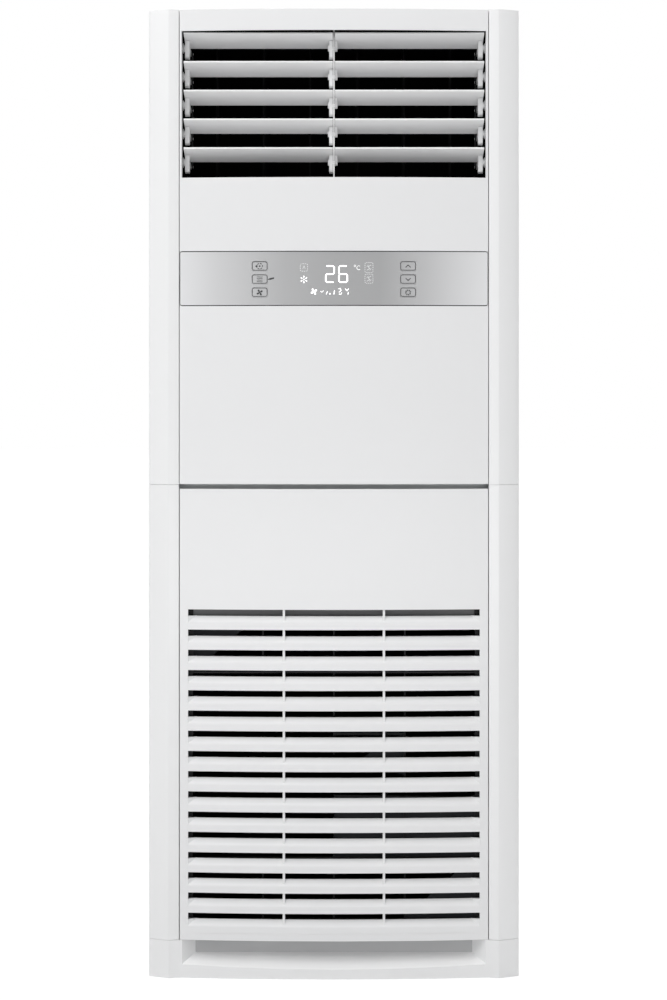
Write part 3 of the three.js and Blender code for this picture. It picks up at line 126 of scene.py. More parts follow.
# print stands this far proud of the band, and sinks this far into it
LOW_PRINT, HIGH_PRINT = 0.08, 0.1
PRINT_SINK = 0.05

# the display
DISPLAY_Z = BAND_TOP - 40.2
DIGIT_Z = DISPLAY_Z + 1.0
DIGIT_WIDTH, DIGIT_HEIGHT = 17.0, 30.6
DIGIT_STROKE, DIGIT_GAP = 2.4, 0.5
TENS_X, UNITS_X = -6.9, 16.2
MARK_Z = DIGIT_Z - 30.6
LEFT_MARK_X, RIGHT_MARK_X = -52.5, 61.4
DASH_CORNER, DASH_STROKE = 2.4, 1.0

# the intake panel, its slats, the slanted ends of their scoops and its ribs
INTAKE_LOW, INTAKE_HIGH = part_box("intake_panel")
INTAKE_BOTTOM, INTAKE_TOP = INTAKE_LOW.z / MM, INTAKE_HIGH.z / MM
INTAKE_HALF = INTAKE_HIGH.x / MM
INTAKE_WALL = 3.0
INTAKE_FLANGE = FLANGE - 1.0
SLOTS = 16
SLOT_PITCH = 35.5
SLOT_HEIGHT = 11.6
SLOT_HALF = 256.0
FIRST_SLOT = 647.0
STRIP = 13.1
SCOOP_RISE = SLOT_PITCH - STRIP - SLOT_HEIGHT
SCOOP_DEPTH = 8.3
SCOOP_WALL = 2.4
SCOOP_RUN = 15.0
SLAT_LAP = 0.8
SLAT_PROUD = 0.02
SLAT_ROUND, SLAT_ROUND_STEPS = 6.0, 6
SLAT_ROOT = 1.5
END_LAP, END_INSET = 0.2, 0.3
RIB_X = 87.7
RIB_WALL = 4.2
RIB_FRONT, RIB_BACK = 2.0, 9.5
RIB_FOOT, RIB_HEAD = 9.0, 3.0

# the corner pillars
PILLAR_WALL = 3.0
PILLAR_SEAM = SEAM_X + SEAM_GAP
RIDGE_X, RIDGE_Y = CORNER_X - 36.0, SEAM_Y - 3.5
CORNER_Y = RIDGE_Y + 12.0
SHELL_BACK = CORNER_Y + 36.5
SEAM_ROUND, RIDGE_ROUND, CORNER_ROUND = 0.6, 2.0, 4.0
SEAM_WALL, CORNER_WALL = 2.4, 2.0
FACET_RISE, FACET_STEPS = 0.9, 10

# the toe recess in the plinth, and the white edges of the outlet frame
RECESS_BOTTOM, RECESS_TOP = 20.0, 66.0
RECESS_HALF = 236.0
RECESS_FRONT = -188.0
CENTRE_RIB_HALF = 1.4
SIDE_EDGE_INNER, SIDE_EDGE_OUTER = 266.0, 267.4

# the ceiling over the vanes, and the rail in front of the filter's head, whose grey is painted light
CEILING_HALF = 316.0
CEILING_FRONT, CEILING_BACK = -96.0, 178.0
CEILING_BOTTOM, CEILING_TOP = 1668.5, 1690.0
RAIL_HALF = 248.0
RAIL_GAP, RAIL_THICKNESS = 0.4, 1.6
RAIL_BOTTOM, RAIL_TOP = FIRST_SLOT - 13.4, FIRST_SLOT + 2

# degrees: edges sharper than the first are eased, on the pillars those sharper than the second,
# and faces of a CAD node that differ by less than the last are joined
EDGE_ANGLE = 28.0
RIDGE_ANGLE = 40.0
FLAT_ANGLE = 1.2

# steps round each corner of a rounded box
CORNER_STEPS = 5

# points closer than this are one point, in metres
MERGE = 2e-6
SKIN_MERGE = 5e-6


# ------------------------------------------------------------------ materials

WHOLE_RANGE = (0.0, 1.0)
COAT_ROUGHNESS = 0.18
ROUGHNESS_PLAY = 0.05
LEAST_ROUGHNESS = 0.02
GRAIN_DETAIL = 3.0
GRAIN_HEIGHT = 0.0002
MOTTLE_SCALE = 3.0
LAMP_GRAIN = 160.0
LAMP_ROUGHNESS = 0.4

# share of the band's length, and how bright its paint is there; the lighter ends are painted sheen
BAND_SHEEN_LEVELS = (
    (0.0, 0.71),
    (0.12, 0.585),
    (0.21, 0.515),
    (0.34, 0.42),
    (0.5, 0.37),
    (0.65, 0.36),
    (0.8, 0.485),
    (0.88, 0.585),
    (1.0, 0.72),
)
BAND_TINT = (1.0, 1.005, 1.02)


def new_material(name):
    material = bpy.data.materials.new(name)
    material.use_nodes = True
    return material, material.node_tree.nodes, material.node_tree.links


def noise(nodes, links, scale, detail=2.0):
    """The value of a noise that is fixed to the object."""
    place = nodes.new("ShaderNodeTexCoord")
    texture = nodes.new("ShaderNodeTexNoise")
    texture.inputs["Scale"].default_value = scale
    texture.inputs["Detail"].default_value = detail
    links.new(place.outputs["Object"], texture.inputs["Vector"])
    return texture.outputs["Fac"]


def mapped(nodes, links, value, before, after):
    """A value carried from one range to another."""
    span = nodes.new("ShaderNodeMapRange")
    span.inputs["From Min"].default_value, span.inputs["From Max"].default_value = before
    span.inputs["To Min"].default_value, span.inputs["To Max"].default_value = after
    links.new(value, span.inputs["Value"])
    return span.outputs["Result"]


def surface(name, colour, roughness, metallic=0.0, coat=0.0, grain=420.0, bump=0.05, mottle=0.02, shine=0.5):
    """A procedural finish: fine grain in the bump and roughness, and a faint large mottle in the colour."""
    material, nodes, links = new_material(name)
    shader = nodes["Principled BSDF"]
    shader.inputs["Metallic"].default_value = metallic
    shader.inputs["Coat Weight"].default_value = coat
    shader.inputs["Coat Roughness"].default_value = COAT_ROUGHNESS
    shader.inputs["Specular IOR Level"].default_value = shine
    fine = noise(nodes, links, grain, GRAIN_DETAIL)
    broad = noise(nodes, links, MOTTLE_SCALE)
    tint = nodes.new("ShaderNodeMix")
    tint.data_type = "RGBA"
    low = [c * (1 - mottle) for c in colour]
    high = [min(1.0, c * (1 + mottle)) for c in colour]
    tint.inputs["A"].default_value = (*low, 1)
    tint.inputs["B"].default_value = (*high, 1)
    links.new(broad, tint.inputs["Factor"])
    links.new(tint.outputs["Result"], shader.inputs["Base Color"])
    rough = (max(LEAST_ROUGHNESS, roughness - ROUGHNESS_PLAY), roughness + ROUGHNESS_PLAY)
    links.new(mapped(nodes, links, fine, WHOLE_RANGE, rough), shader.inputs["Roughness"])
    height = nodes.new("ShaderNodeBump")
    height.inputs["Strength"].default_value = bump
    height.inputs["Distance"].default_value = GRAIN_HEIGHT
    links.new(fine, height.inputs["Height"])
    links.new(height.outputs["Normal"], shader.inputs["Normal"])
    return material


def band_paint_and_sheen():
    """Satin silver paint that is lighter towards the band's ends, as painted sheen."""
    material = surface("silver_band", (0.42, 0.425, 0.44), 0.34, metallic=0.35, coat=0.25, grain=900, bump=0.03)
    nodes, links = material.node_tree.nodes, material.node_tree.links
    place = nodes.new("ShaderNodeTexCoord")
    parts = nodes.new("ShaderNodeSeparateXYZ")
    links.new(place.outputs["Object"], parts.inputs["Vector"])
    across = mapped(nodes, links, parts.outputs["X"], (-BAND_HALF * MM, BAND_HALF * MM), WHOLE_RANGE)
    ramp = nodes.new("ShaderNodeValToRGB")
    ramp.color_ramp.elements[0].position = BAND_SHEEN_LEVELS[0][0]
    ramp.color_ramp.elements[1].position = BAND_SHEEN_LEVELS[-1][0]
    for position, _ in BAND_SHEEN_LEVELS[1:-1]:
        ramp.color_ramp.elements.new(position)
    for element, (_, level) in zip(ramp.color_ramp.elements, BAND_SHEEN_LEVELS):
        element.color = (*[level * part for part in BAND_TINT], 1)
    links.new(across, ramp.inputs["Fac"])
    links.new(ramp.outputs["Color"], nodes["Principled BSDF"].inputs["Base Color"])
    return material


def glow(name, colour, strength):
    """Lit print: a flat emission with a faint unevenness."""
    material, nodes, links = new_material(name)
    shader = nodes["Principled BSDF"]
    shader.inputs["Base Color"].default_value = (*colour, 1)
    shader.inputs["Roughness"].default_value = LAMP_ROUGHNESS
    shader.inputs["Emission Color"].default_value = (*colour, 1)
    uneven = noise(nodes, links, LAMP_GRAIN)
    level = mapped(nodes, links, uneven, WHOLE_RANGE, (strength * 0.9, strength * 1.1))
    links.new(level, shader.inputs["Emission Strength"])
    return material


WHITE = surface("white_moulding", (0.80, 0.803, 0.81), 0.36, coat=0.15, grain=1400, bump=0.03, mottle=0.008)
# Painted light: a lighter copy of the white moulding, for the pillars and the plinth.
PAINTED_LIGHT_WHITE = surface("white_moulding_painted_light", (0.85, 0.853, 0.858), 0.34, coat=0.15, grain=1400, bump=0.03, mottle=0.008)
PAINT = surface("white_paint", (0.78, 0.785, 0.79), 0.45, grain=900, bump=0.12, mottle=0.01)
# Painted light: lighter than the white moulding, so that the louvres' shaded undersides come out brighter.
BLADE = surface("louvre_moulding", (0.87, 0.872, 0.878), 0.42, grain=1200, bump=0.05, mottle=0.01)
BAND = band_paint_and_sheen()
DARK = surface("dark_moulding", (0.012, 0.0122, 0.013), 0.5, grain=700, bump=0.1, shine=0.25)
BLACK = surface("duct_black", (0.003, 0.003, 0.0034), 0.8, grain=500, bump=0.1, shine=0.05)
ZINC = surface("zinc_sheet", (0.55, 0.57, 0.58), 0.38, metallic=0.9, grain=60, bump=0.05, mottle=0.08)
FINS = surface("coil_fins", (0.72, 0.74, 0.75), 0.4, metallic=0.9, grain=300, bump=0.3)
COPPER = surface("copper_pipe", (0.72, 0.36, 0.20), 0.3, metallic=1.0, grain=200, bump=0.05, mottle=0.08)
BOARD = surface("circuit_board", (0.01, 0.07, 0.03), 0.45, grain=300, bump=0.2)
CASING = surface("motor_casing", (0.16, 0.17, 0.18), 0.5, metallic=0.2, grain=300, bump=0.2)
NET = surface("filter_mesh", (0.02, 0.022, 0.025), 0.9, grain=1500, bump=0.6)
# Painted shade: the black of the bed, seen in the groove round the band, stands for the shadow in that groove.
GROOVE_SHADE = surface("band_groove_shade", (0.008, 0.008, 0.009), 0.8, grain=900, bump=0.1)
INKED = surface("key_ink", (0.03, 0.031, 0.033), 0.5, grain=900, bump=0.02)
LAMP = glow("lit_segments", (1.0, 1.0, 1.0), 1.0)
SOFT_LAMP = glow("soft_segments", (1.0, 1.0, 1.0), 0.35)
DIM_LAMP = surface("unlit_icons", (0.85, 0.86, 0.87), 0.4, grain=900, bump=0.02)
# Painted shade: a grey for the back wall of the toe recess, in place of the shadow under the intake panel.
RECESS_SHADE = surface("recess_wall_painted_shade", (0.5, 0.503, 0.51), 0.5, grain=1200, bump=0.04)
# Painted light: a lighter white for the recess's sloping floor, as if lit from above.
LEDGE_PAINTED_LIGHT = surface("recess_ledge_painted_light", (0.95, 0.952, 0.955), 0.5, grain=1200, bump=0.04)
# Painted light: a grey that stands for light on the filter's head, seen through the first slot.
RAIL_PAINTED_LIGHT = surface("filter_rail_painted_light", (0.16, 0.162, 0.165), 0.6, grain=900, bump=0.1)


# ------------------------------------------------------------------ mesh makers


def bow(x):
    """The y of the bowed front at x."""
    return FRONT_Y + BOW_RADIUS - math.sqrt(BOW_RADIUS**2 - x**2)


def bow_stations(low, high, extra=()):
    """Places across the front where the bow is bent, its ends and any extra places included."""
    step = 2 * SEAM_X / BOW_STEPS
    inner = [-SEAM_X + step * i for i in range(BOW_STEPS + 1)]
    wanted = sorted({low, high, *extra})
    kept = [x for x in inner if low < x < high and all(abs(x - w) > step * LEAST_STEP for w in wanted)]
    return sorted(kept + wanted)


def build(name, shape, material, body, replaces=(), bevel=0.0, steps=2, angle=EDGE_ANGLE):
    """A piece from points in millimetres and their faces."""
    points, faces = shape
    mesh = bpy.data.meshes.new(name)
    mesh.from_pydata([Vector(p) * MM for p in points], [], faces)
    dress(name, mesh, material, body, replaces, bevel, steps, angle)


def dress(name, mesh, material, body, replaces, bevel, steps, angle):
    """Makes a mesh a piece with a finish and eased edges, and puts it on a body of the frame."""
    work = bmesh.new()
    work.from_mesh(mesh)
    bmesh.ops.remove_doubles(work, verts=work.verts, dist=MERGE)
    bmesh.ops.recalc_face_normals(work, faces=work.faces)
    work.to_mesh(mesh)
    work.free()
    mesh.materials.clear()
    mesh.materials.append(material)
    piece = bpy.data.objects.new(name, mesh)
    bpy.context.scene.collection.objects.link(piece)
    for polygon in mesh.polygons:
        polygon.use_smooth = True
    if bevel:
        ease = piece.modifiers.new("ease", "BEVEL")
        ease.width = bevel * MM
        ease.segments = steps
        ease.limit_method = "ANGLE"
        ease.angle_limit = math.radians(angle)
        ease.harden_normals = True
        ease.miter_outer = "MITER_ARC"
    mesh.set_sharp_from_angle(angle=math.radians(angle))
    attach(piece, body)
    if replaces:
        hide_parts(*replaces)


def body_of_node(node):
    """The frame body that a CAD node belongs to."""
    return frame["nodes"][node]["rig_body"]


def skin(node, material, bevel, steps=2):
    """A cleaned and eased copy of a CAD node that stands for it."""
    mesh = frame["nodes"][node].data.copy()
    if "custom_normal" in mesh.attributes:
        mesh.attributes.remove(mesh.attributes["custom_normal"])
    work = bmesh.new()
    work.from_mesh(mesh)
    bmesh.ops.remove_doubles(work, verts=work.verts, dist=SKIN_MERGE)
    bmesh.ops.dissolve_limit(
        work,
        angle_limit=math.radians(FLAT_ANGLE),
        verts=work.verts,
        edges=work.edges,
        use_dissolve_boundaries=False,
    )
    work.to_mesh(mesh)
    work.free()
    dress(node + "_skin", mesh, material, body_of_node(node), (node,), bevel, steps, EDGE_ANGLE)


def between(values, i):
    """The middle between a value of a list and the next."""
    return (values[i] + values[i + 1]) / 2


def grid_solid(xs, depths, zs, filled):
    """Points and faces of a solid on a grid of cells; depths count back from the bowed front."""
    points, faces, found = [], [], {}

    def corner(i, k, j):
        key = (i, k, j)
        if key not in found:
            found[key] = len(points)
            points.append((xs[i], bow(xs[i]) + depths[k], zs[j]))
        return found[key]

    cells = set()
    for i in range(len(xs) - 1):
        for k in range(len(depths) - 1):
            for j in range(len(zs) - 1):
                if filled(between(xs, i), between(depths, k), between(zs, j)):
                    cells.add((i, k, j))
    sides = (
        ((-1, 0, 0), ((0, 0, 0), (0, 0, 1), (0, 1, 1), (0, 1, 0))),
        ((1, 0, 0), ((1, 0, 0), (1, 1, 0), (1, 1, 1), (1, 0, 1))),
        ((0, -1, 0), ((0, 0, 0), (1, 0, 0), (1, 0, 1), (0, 0, 1))),
        ((0, 1, 0), ((0, 1, 0), (0, 1, 1), (1, 1, 1), (1, 1, 0))),
        ((0, 0, -1), ((0, 0, 0), (0, 1, 0), (1, 1, 0), (1, 0, 0))),
        ((0, 0, 1), ((0, 0, 1), (1, 0, 1), (1, 1, 1), (0, 1, 1))),
    )
    for i, k, j in sorted(cells):
        for (di, dk, dj), ring in sides:
            if (i + di, k + dk, j + dj) not in cells:
                faces.append([corner(i + a, k + b, j + c) for a, b, c in ring])
    return points, faces


def run_across(profile, xs, bend=bow):
    """Points and faces of a bar with a [depth, height] outline, run across the front."""
    count = len(profile)
    points = [(x, bend(x) + depth, z) for x in xs for depth, z in profile]
    faces = []
    for i in range(len(xs) - 1):
        for p in range(count):
            q = (p + 1) % count
            faces.append([i * count + p, i * count + q, (i + 1) * count + q, (i + 1) * count + p])
    faces.append(list(range(count))[::-1])
    faces.append([(len(xs) - 1) * count + p for p in range(count)])
    return points, faces


def upright(plan, low, high):
    """Points and faces of a prism: a plan outline between two heights."""
    count = len(plan)
    points = [(x, y, z) for z in (low, high) for x, y in plan]
    faces = [[p, (p + 1) % count, count + (p + 1) % count, count + p] for p in range(count)]
    faces.append(list(range(count))[::-1])
    faces.append([count + p for p in range(count)])
    return points, faces


def merged(*parts):
    """Several point and face lists as one."""
    points, faces = [], []
    for more_points, more_faces in parts:
        base = len(points)
        points.extend(more_points)
        faces.extend([[base + p for p in face] for face in more_faces])
    return points, faces


def fillet(before, bend_point, after, radius, steps=4):
    """Points round a bend of a line."""
    b = Vector(bend_point)
    u = (Vector(before) - b).normalized()
    v = (Vector(after) - b).normalized()
    half = u.angle(v) / 2
    start = b + u * (radius / math.tan(half))
    end = b + v * (radius / math.tan(half))
    centre = b + (u + v).normalized() * (radius / math.sin(half))
    a, c = start - centre, end - centre
    turn = a.angle_signed(c)
    points = []
    for step in range(steps + 1):
        angle = -turn * step / steps
        x = centre.x + a.x * math.cos(angle) - a.y * math.sin(angle)
        y = centre.y + a.x * math.sin(angle) + a.y * math.cos(angle)
        points.append((x, y))
    return points


def circle(x, z, radius, steps=20, start=0.0, sweep=360.0):
    """Points round a circle, or round an arc of it, in the front's plane."""
    count = steps if sweep >= 360.0 else steps + 1
    points = []
    for i in range(count):
        angle = math.radians(start + sweep * i / steps)
        points.append((x + radius * math.cos(angle), z + radius * math.sin(angle)))
    return points


def rounded_box(x, z, width, height, radius):
    """A rounded rectangle round a middle point, as [x, z] points."""
    points = []
    for sx, sz, start in ((1, 1, 0), (-1, 1, 90), (-1, -1, 180), (1, -1, 270)):
        cx, cz = x + sx * (width / 2 - radius), z + sz * (height / 2 - radius)
        points += circle(cx, cz, radius, CORNER_STEPS, start, 90)
    return points


def ribbon(line, width, closed=False):
    """A stroke along a line of [x, z] points, as one four-sided outline for each stretch."""
    half = width / 2
    points = [Vector(p) for p in line]
    count = len(points)
    left, right = [], []
    for i, point in enumerate(points):
        ways = []
        if i or closed:
            ways.append((point - points[i - 1]).normalized())
        if i < count - 1 or closed:
            ways.append((points[(i + 1) % count] - point).normalized())
        normals = [Vector((-w.y, w.x)) for w in ways]
        normal = sum(normals, Vector((0, 0))).normalized()
        reach = half / max(0.35, normal.dot(normals[0]))
        left.append(point + normal * reach)
        right.append(point - normal * reach)
    quads = []
    for i in range(count if closed else count - 1):
        j = (i + 1) % count
        quads.append([left[i], right[i], right[j], left[j]])
    return quads


def strokes(lines, z):
    """Several strokes, each a line of [x, height over z] points and a width."""
    shapes = []
    for line, width in lines:
        shapes += ribbon([(x, z + lift) for x, lift in line], width)
    return shapes


def ink(name, shapes, material, body, proud):
    """Thin raised print on the bowed front: closed outlines of [x, z] points."""
    points, faces = [], []
    for shape in shapes:
        base = len(points)
        outline = [Vector((p[0], p[1])) for p in shape]
        count = len(outline)
        for level in (-proud, PRINT_SINK):
            points.extend((p.x, bow(p.x) + level, p.y) for p in outline)
        for tri in tessellate_polygon([[Vector((p.x, p.y, 0)) for p in outline]]):
            faces.append([base + tri[0], base + tri[1], base + tri[2]])
            faces.append([base + count + tri[2], base + count + tri[1], base + count + tri[0]])
        for p in range(count):
            q = (p + 1) % count
            faces.append([base + p, base + q, base + count + q, base + count + p])
    build(name, (points, faces), material, body)


def bowed_plate(outline, holes, front, back):
    """Points and faces of a plate with holes, made flat, cut along the bow's stations and bent to it."""
    loops = [outline, *holes]
    flat = [p for loop in loops for p in loop]
    triangles = tessellate_polygon([[Vector((p[0], p[1], 0)) for p in loop] for loop in loops])
    count = len(flat)
    points = [(p[0], front, p[1]) for p in flat] + [(p[0], back, p[1]) for p in flat]
    faces = []
    for a, b, c in triangles:
        faces.append([a, b, c])
        faces.append([count + c, count + b, count + a])
    base = 0
    for loop in loops:
        n = len(loop)
        for p in range(n):
            q = (p + 1) % n
            faces.append([base + p, base + q, count + base + q, count + base + p])
        base += n
    mesh = bpy.data.meshes.new("plate")
    mesh.from_pydata(points, [], faces)
    work = bmesh.new()
    work.from_mesh(mesh)
    low = min(p[0] for p in outline)
    high = max(p[0] for p in outline)
    for x in bow_stations(low, high)[1:-1]:
        geometry = work.verts[:] + work.edges[:] + work.faces[:]
        bmesh.ops.bisect_plane(work, geom=geometry, dist=1e-4, plane_co=(x, 0, 0), plane_no=(1, 0, 0))
    made = [(v.co.x, bow(v.co.x) + v.co.y, v.co.z) for v in work.verts]
    work.verts.index_update()
    rings = [[v.index for v in face.verts] for face in work.faces]
    work.free()
    bpy.data.meshes.remove(mesh)
    return made, rings


# ------------------------------------------------------------------ upper front panel


def upper_panel():
    """The bowed upper panel with its outlet opening, band recess, flanges and top trim."""
    edge = PANEL_HALF - FLANGE_WALL
    sill = OUTLET_BOTTOM - LIP
    groove_low, groove_high = BAND_BOTTOM - BAND_GROOVE, BAND_TOP + BAND_GROOVE
    xs = bow_stations(-PANEL_HALF, PANEL_HALF, (-OUTLET_HALF, OUTLET_HALF, -edge, edge))
    depths = [0, BAND_SEAT, PANEL_WALL, FLANGE]
    zs = [PANEL_BOTTOM, PANEL_BOTTOM + LIP, groove_low, groove_high]
    zs += [sill, OUTLET_BOTTOM, OUTLET_TOP, TOP_Z - LIP, TOP_Z]

    def filled(x, depth, z):
        if abs(x) < OUTLET_HALF and OUTLET_BOTTOM < z < OUTLET_TOP:
            return False
        if depth < BAND_SEAT and groove_low < z < groove_high:
            return False
        if depth < PANEL_WALL:
            return True
        rim = abs(x) > edge or z < PANEL_BOTTOM + LIP or z > TOP_Z - LIP
        return rim or sill < z < OUTLET_BOTTOM

    front = grid_solid(xs, depths, zs, filled)
    build("upper_panel_front", front, WHITE, "cabinet", ("upper_front_panel",), 0.5, 3)
    roof_plan = [(x, bow(x) + FLANGE - ROOF_LAP) for x in bow_stations(-PANEL_HALF, PANEL_HALF)]
    roof_plan += [(PANEL_HALF, SHELL_BACK), (-PANEL_HALF, SHELL_BACK)]
    roof = upright(roof_plan, TOP_Z - LIP, TOP_Z)
    build("upper_panel_roof", roof, WHITE, "cabinet", (), 0.4)


upper_panel()


# ------------------------------------------------------------------ control band and keys


def key_height(row):
    return BAND_TOP - FIRST_KEY - KEY_PITCH * row


def keys():
    """The name and the middle point of each key, the left three first."""
    for side, names in zip((-1, 1), KEY_NAMES):
        for row, name in enumerate(names):
            yield name, side * KEY_X, key_height(row)


def control_band():
    """The silver band, a thin bowed strip with a rounded window for each key, and the dark bed under it, painted
    shade in the groove round the band.
    """
    height = BAND_TOP - BAND_BOTTOM
    outline = rounded_box(0, BAND_MIDDLE, 2 * BAND_REACH, height, BAND_CORNER)
    windows = []
    for _, x, z in keys():
        window = rounded_box(x, z, KEY_WIDTH + 2 * KEY_GAP, KEY_HEIGHT + 2 * KEY_GAP, WINDOW_CORNER)
        windows.append(window[::-1])
    face = bowed_plate(outline, windows, 0.0, BAND_THICKNESS)
    build("control_band_face", face, BAND, "cabinet", ("control_band",), 0.25)
    bed_height = height + 2 * BAND_GROOVE - BED_SLACK
    bed_outline = rounded_box(0, BAND_MIDDLE, 2 * BAND_REACH + BED_LAP, bed_height, BED_CORNER)
    build("band_groove_shade", bowed_plate(bed_outline, windows, BED_FRONT, BED_BACK), GROOVE_SHADE, "cabinet")


def key_faces():
    """The keys from the CAD nodes, each with a line printed round its face."""
    for name, x, z in keys():
        skin(name, BAND, 0.35, 3)
        edge = rounded_box(x, z + OUTLINE_LIFT, OUTLINE_WIDTH, OUTLINE_HEIGHT, OUTLINE_CORNER)
        ink(name + "_outline", ribbon(edge, OUTLINE_STROKE, closed=True), INKED, name, LOW_PRINT)


control_band()
key_faces()


# ------------------------------------------------------------------ icons on the keys, drawn round their middles


def icon_mode(x, z):
    """A dashed ring with a dot in it and an arrow at its left."""
    shapes = []
    for i in range(6):
        shapes += ribbon(circle(x, z, 4.9, 3, i * 60 - 15, 38), 1.3)
    arrow = [(x - 8.2, z), (x - 4.6, z - 2.4), (x - 4.6, z + 2.4)]
    return shapes + [circle(x, z, 1.4, 12), arrow]


def icon_swing(x, z):
    """Four slight waves."""
    shapes = []
    for lift in (-4.2, -1.4, 1.4, 4.2):
        wave = [(x - 5 + i * 2.0, z + lift + 0.3 * math.sin(i * 1.3)) for i in range(6)]
        shapes += ribbon(wave, 0.8)
    return shapes


def icon_fan(x, z, size=5.8):
    """A hub and four oval blades."""
    shapes = [circle(x, z, size * 0.2, 10)]
    for turn in range(4):
        a = math.radians(turn * 90 + 30)
        cx, cz = x + math.cos(a) * size * 0.6, z + math.sin(a) * size * 0.6
        blade = []
        for i in range(12):
            t = 2 * math.pi * i / 12
            u, v = size * 0.42 * math.cos(t), size * 0.28 * math.sin(t)
            blade.append((cx + u * math.cos(a) - v * math.sin(a), cz + u * math.sin(a) + v * math.cos(a)))
        shapes.append(blade)
    return shapes


def icon_chevron(x, z, way):
    """A chevron that points up where way is 1, and down where it is -1."""
    return ribbon([(x - 4.4, z - 2.1 * way), (x, z + 2.1 * way), (x + 4.4, z - 2.1 * way)], 1.15)


def icon_up(x, z):
    return icon_chevron(x, z, 1)


def icon_down(x, z):
    return icon_chevron(x, z, -1)


def icon_timer(x, z):
    """A toothed ring."""
    shapes = []
    for i in range(8):
        shapes += ribbon(circle(x, z, 4.0, 3, i * 45, 27), 2.3)
    return shapes


ICONS = {
    "mode_key": icon_mode,
    "swing_key": icon_swing,
    "fan_key": icon_fan,
    "up_key": icon_up,
    "down_key": icon_down,
    "timer_key": icon_timer,
}

for key_name, key_middle_x, key_middle_z in keys():
    ink(key_name + "_icon", ICONS[key_name](key_middle_x, key_middle_z), INKED, key_name, LOW_PRINT)


# ------------------------------------------------------------------ display

SEGMENTS = {"2": "abged", "6": "afgedc"}

# small strokes under the digits, left and right of a dot: points as x and height over the row, and a width
ROW_LEFT = (
    (((-23.4, 0.6), (-21.2, -1.4), (-18.2, 1.6)), 1.1),
    (((-13.6, -5.0), (-11.2, 0.4)), 1.2),
)
ROW_DOT = ((-7.8, -5.2), (-6.0, -5.2), (-6.0, -2.6), (-7.8, -2.6))
ROW_RIGHT = (
    (((0.0, -5.2), (1.0, 2.0)), 1.4),
    (((8.0, 4.6), (11.4, 5.4), (12.6, 2.0), (8.6, -1.4)), 1.2),
    (((8.6, -4.2), (12.4, -4.8), (14.0, -1.4)), 1.1),
    (((19.6, 5.4), (22.6, 1.4), (26.0, 5.2)), 1.1),
    (((24.4, -5.2), (25.4, -1.2)), 1.4),
)

# strokes inside the dashed boxes: a peak in the left one, and the same marks in both right ones
LEFT_BOX_STROKES = ((((-54.6, 9.0), (-52.2, 14.2), (-50.2, 9.0)), 0.8),)
RIGHT_BOX_STROKES = (
    (((57.4, -4.6), (62.6, -1.8), (60.2, 1.6), (65.2, 4.6)), 0.9),
    (((57.4, 1.2), (60.6, 4.8)), 0.8),
    (((62.4, -4.8), (65.4, -1.4)), 0.8),
)

# how far the middles of the two right boxes lie over the digits' middle, and how high the boxes are
RIGHT_BOXES = ((11.4, 17.4), (-8.0, 16.0))

# the tapered mark at the right of the second left key, round the key's middle
POINTER = ((14.3, -0.6), (19.0, -0.9), (25.2, 0.8), (25.5, 3.4), (19.0, 2.4), (14.3, 0.4))


def digit(mark, x, z):
    """A seven segment digit round a middle point, as closed outlines."""
    w, h, t, g = DIGIT_WIDTH / 2, DIGIT_HEIGHT / 2, DIGIT_STROKE / 2, DIGIT_GAP
    left, right = x - w + t, x + w - t
    top, bottom = z + h - t, z - h + t

    def flat(cz):
        """A level bar."""
        near_left, near_right = x - w + 2 * t + g, x + w - 2 * t - g
        upper = [(left + g, cz), (near_left, cz + t), (near_right, cz + t)]
        lower = [(right - g, cz), (near_right, cz - t), (near_left, cz - t)]
        return upper + lower

    def tall(cx, low, high):
        """An upright bar."""
        near_low, near_high = low + t + g, high - t - g
        rising = [(cx, low + g), (cx + t, near_low), (cx + t, near_high)]
        falling = [(cx, high - g), (cx - t, near_high), (cx - t, near_low)]
        return rising + falling

    bars = {
        "a": flat(top),
        "b": tall(right, z, top),
        "c": tall(right, bottom, z),
        "d": flat(bottom),
        "e": tall(left, bottom, z),
        "f": tall(left, z, top),
        "g": flat(z),
    }
    return [bars[segment] for segment in SEGMENTS[mark]]


def snowflake(x, z, size):
    """Six separate drops round a small core."""
    shapes = [circle(x, z, size * 0.22, 10)]
    for i in range(6):
        a = math.radians(60 * i + 30)
        drop = [(x + reach * math.cos(a), z + reach * math.sin(a)) for reach in (size * 0.52, size)]
        shapes += ribbon(drop, 1.7)
    return shapes


def point_along(line, distance):
    """The point of a closed line that lies a distance along it."""
    for i, point in enumerate(line):
        ahead = line[(i + 1) % len(line)]
        length = math.dist(point, ahead)
        if distance <= length:
            share = distance / length if length else 0.0
            return point[0] + (ahead[0] - point[0]) * share, point[1] + (ahead[1] - point[1]) * share
        distance -= length
    return line[0]


def dashed_box(x, z, width, height, dashes):
    """A rounded box drawn in short strokes."""
    line = rounded_box(x, z, width, height, DASH_CORNER)
    dash = sum(math.dist(point, line[(i + 1) % len(line)]) for i, point in enumerate(line)) / dashes
    shapes = []
    for i in range(dashes):
        shapes += ribbon([point_along(line, (i + part) * dash) for part in (0.0, 0.3, 0.6)], DASH_STROKE)
    return shapes


def lit_marks():
    """The digits, the snowflake at their left, and the small marks under them."""
    shapes = digit("2", TENS_X, DIGIT_Z) + digit("6", UNITS_X, DIGIT_Z)
    shapes += snowflake(LEFT_MARK_X, DIGIT_Z - 9.4, 6.4)
    shapes += icon_fan(-35.0, MARK_Z, 6.0)
    shapes += strokes(ROW_LEFT, MARK_Z)
    shapes.append([(x, MARK_Z + lift) for x, lift in ROW_DOT])
    shapes += strokes(ROW_RIGHT, MARK_Z)
    ink("lit_marks", shapes, LAMP, "cabinet", HIGH_PRINT)


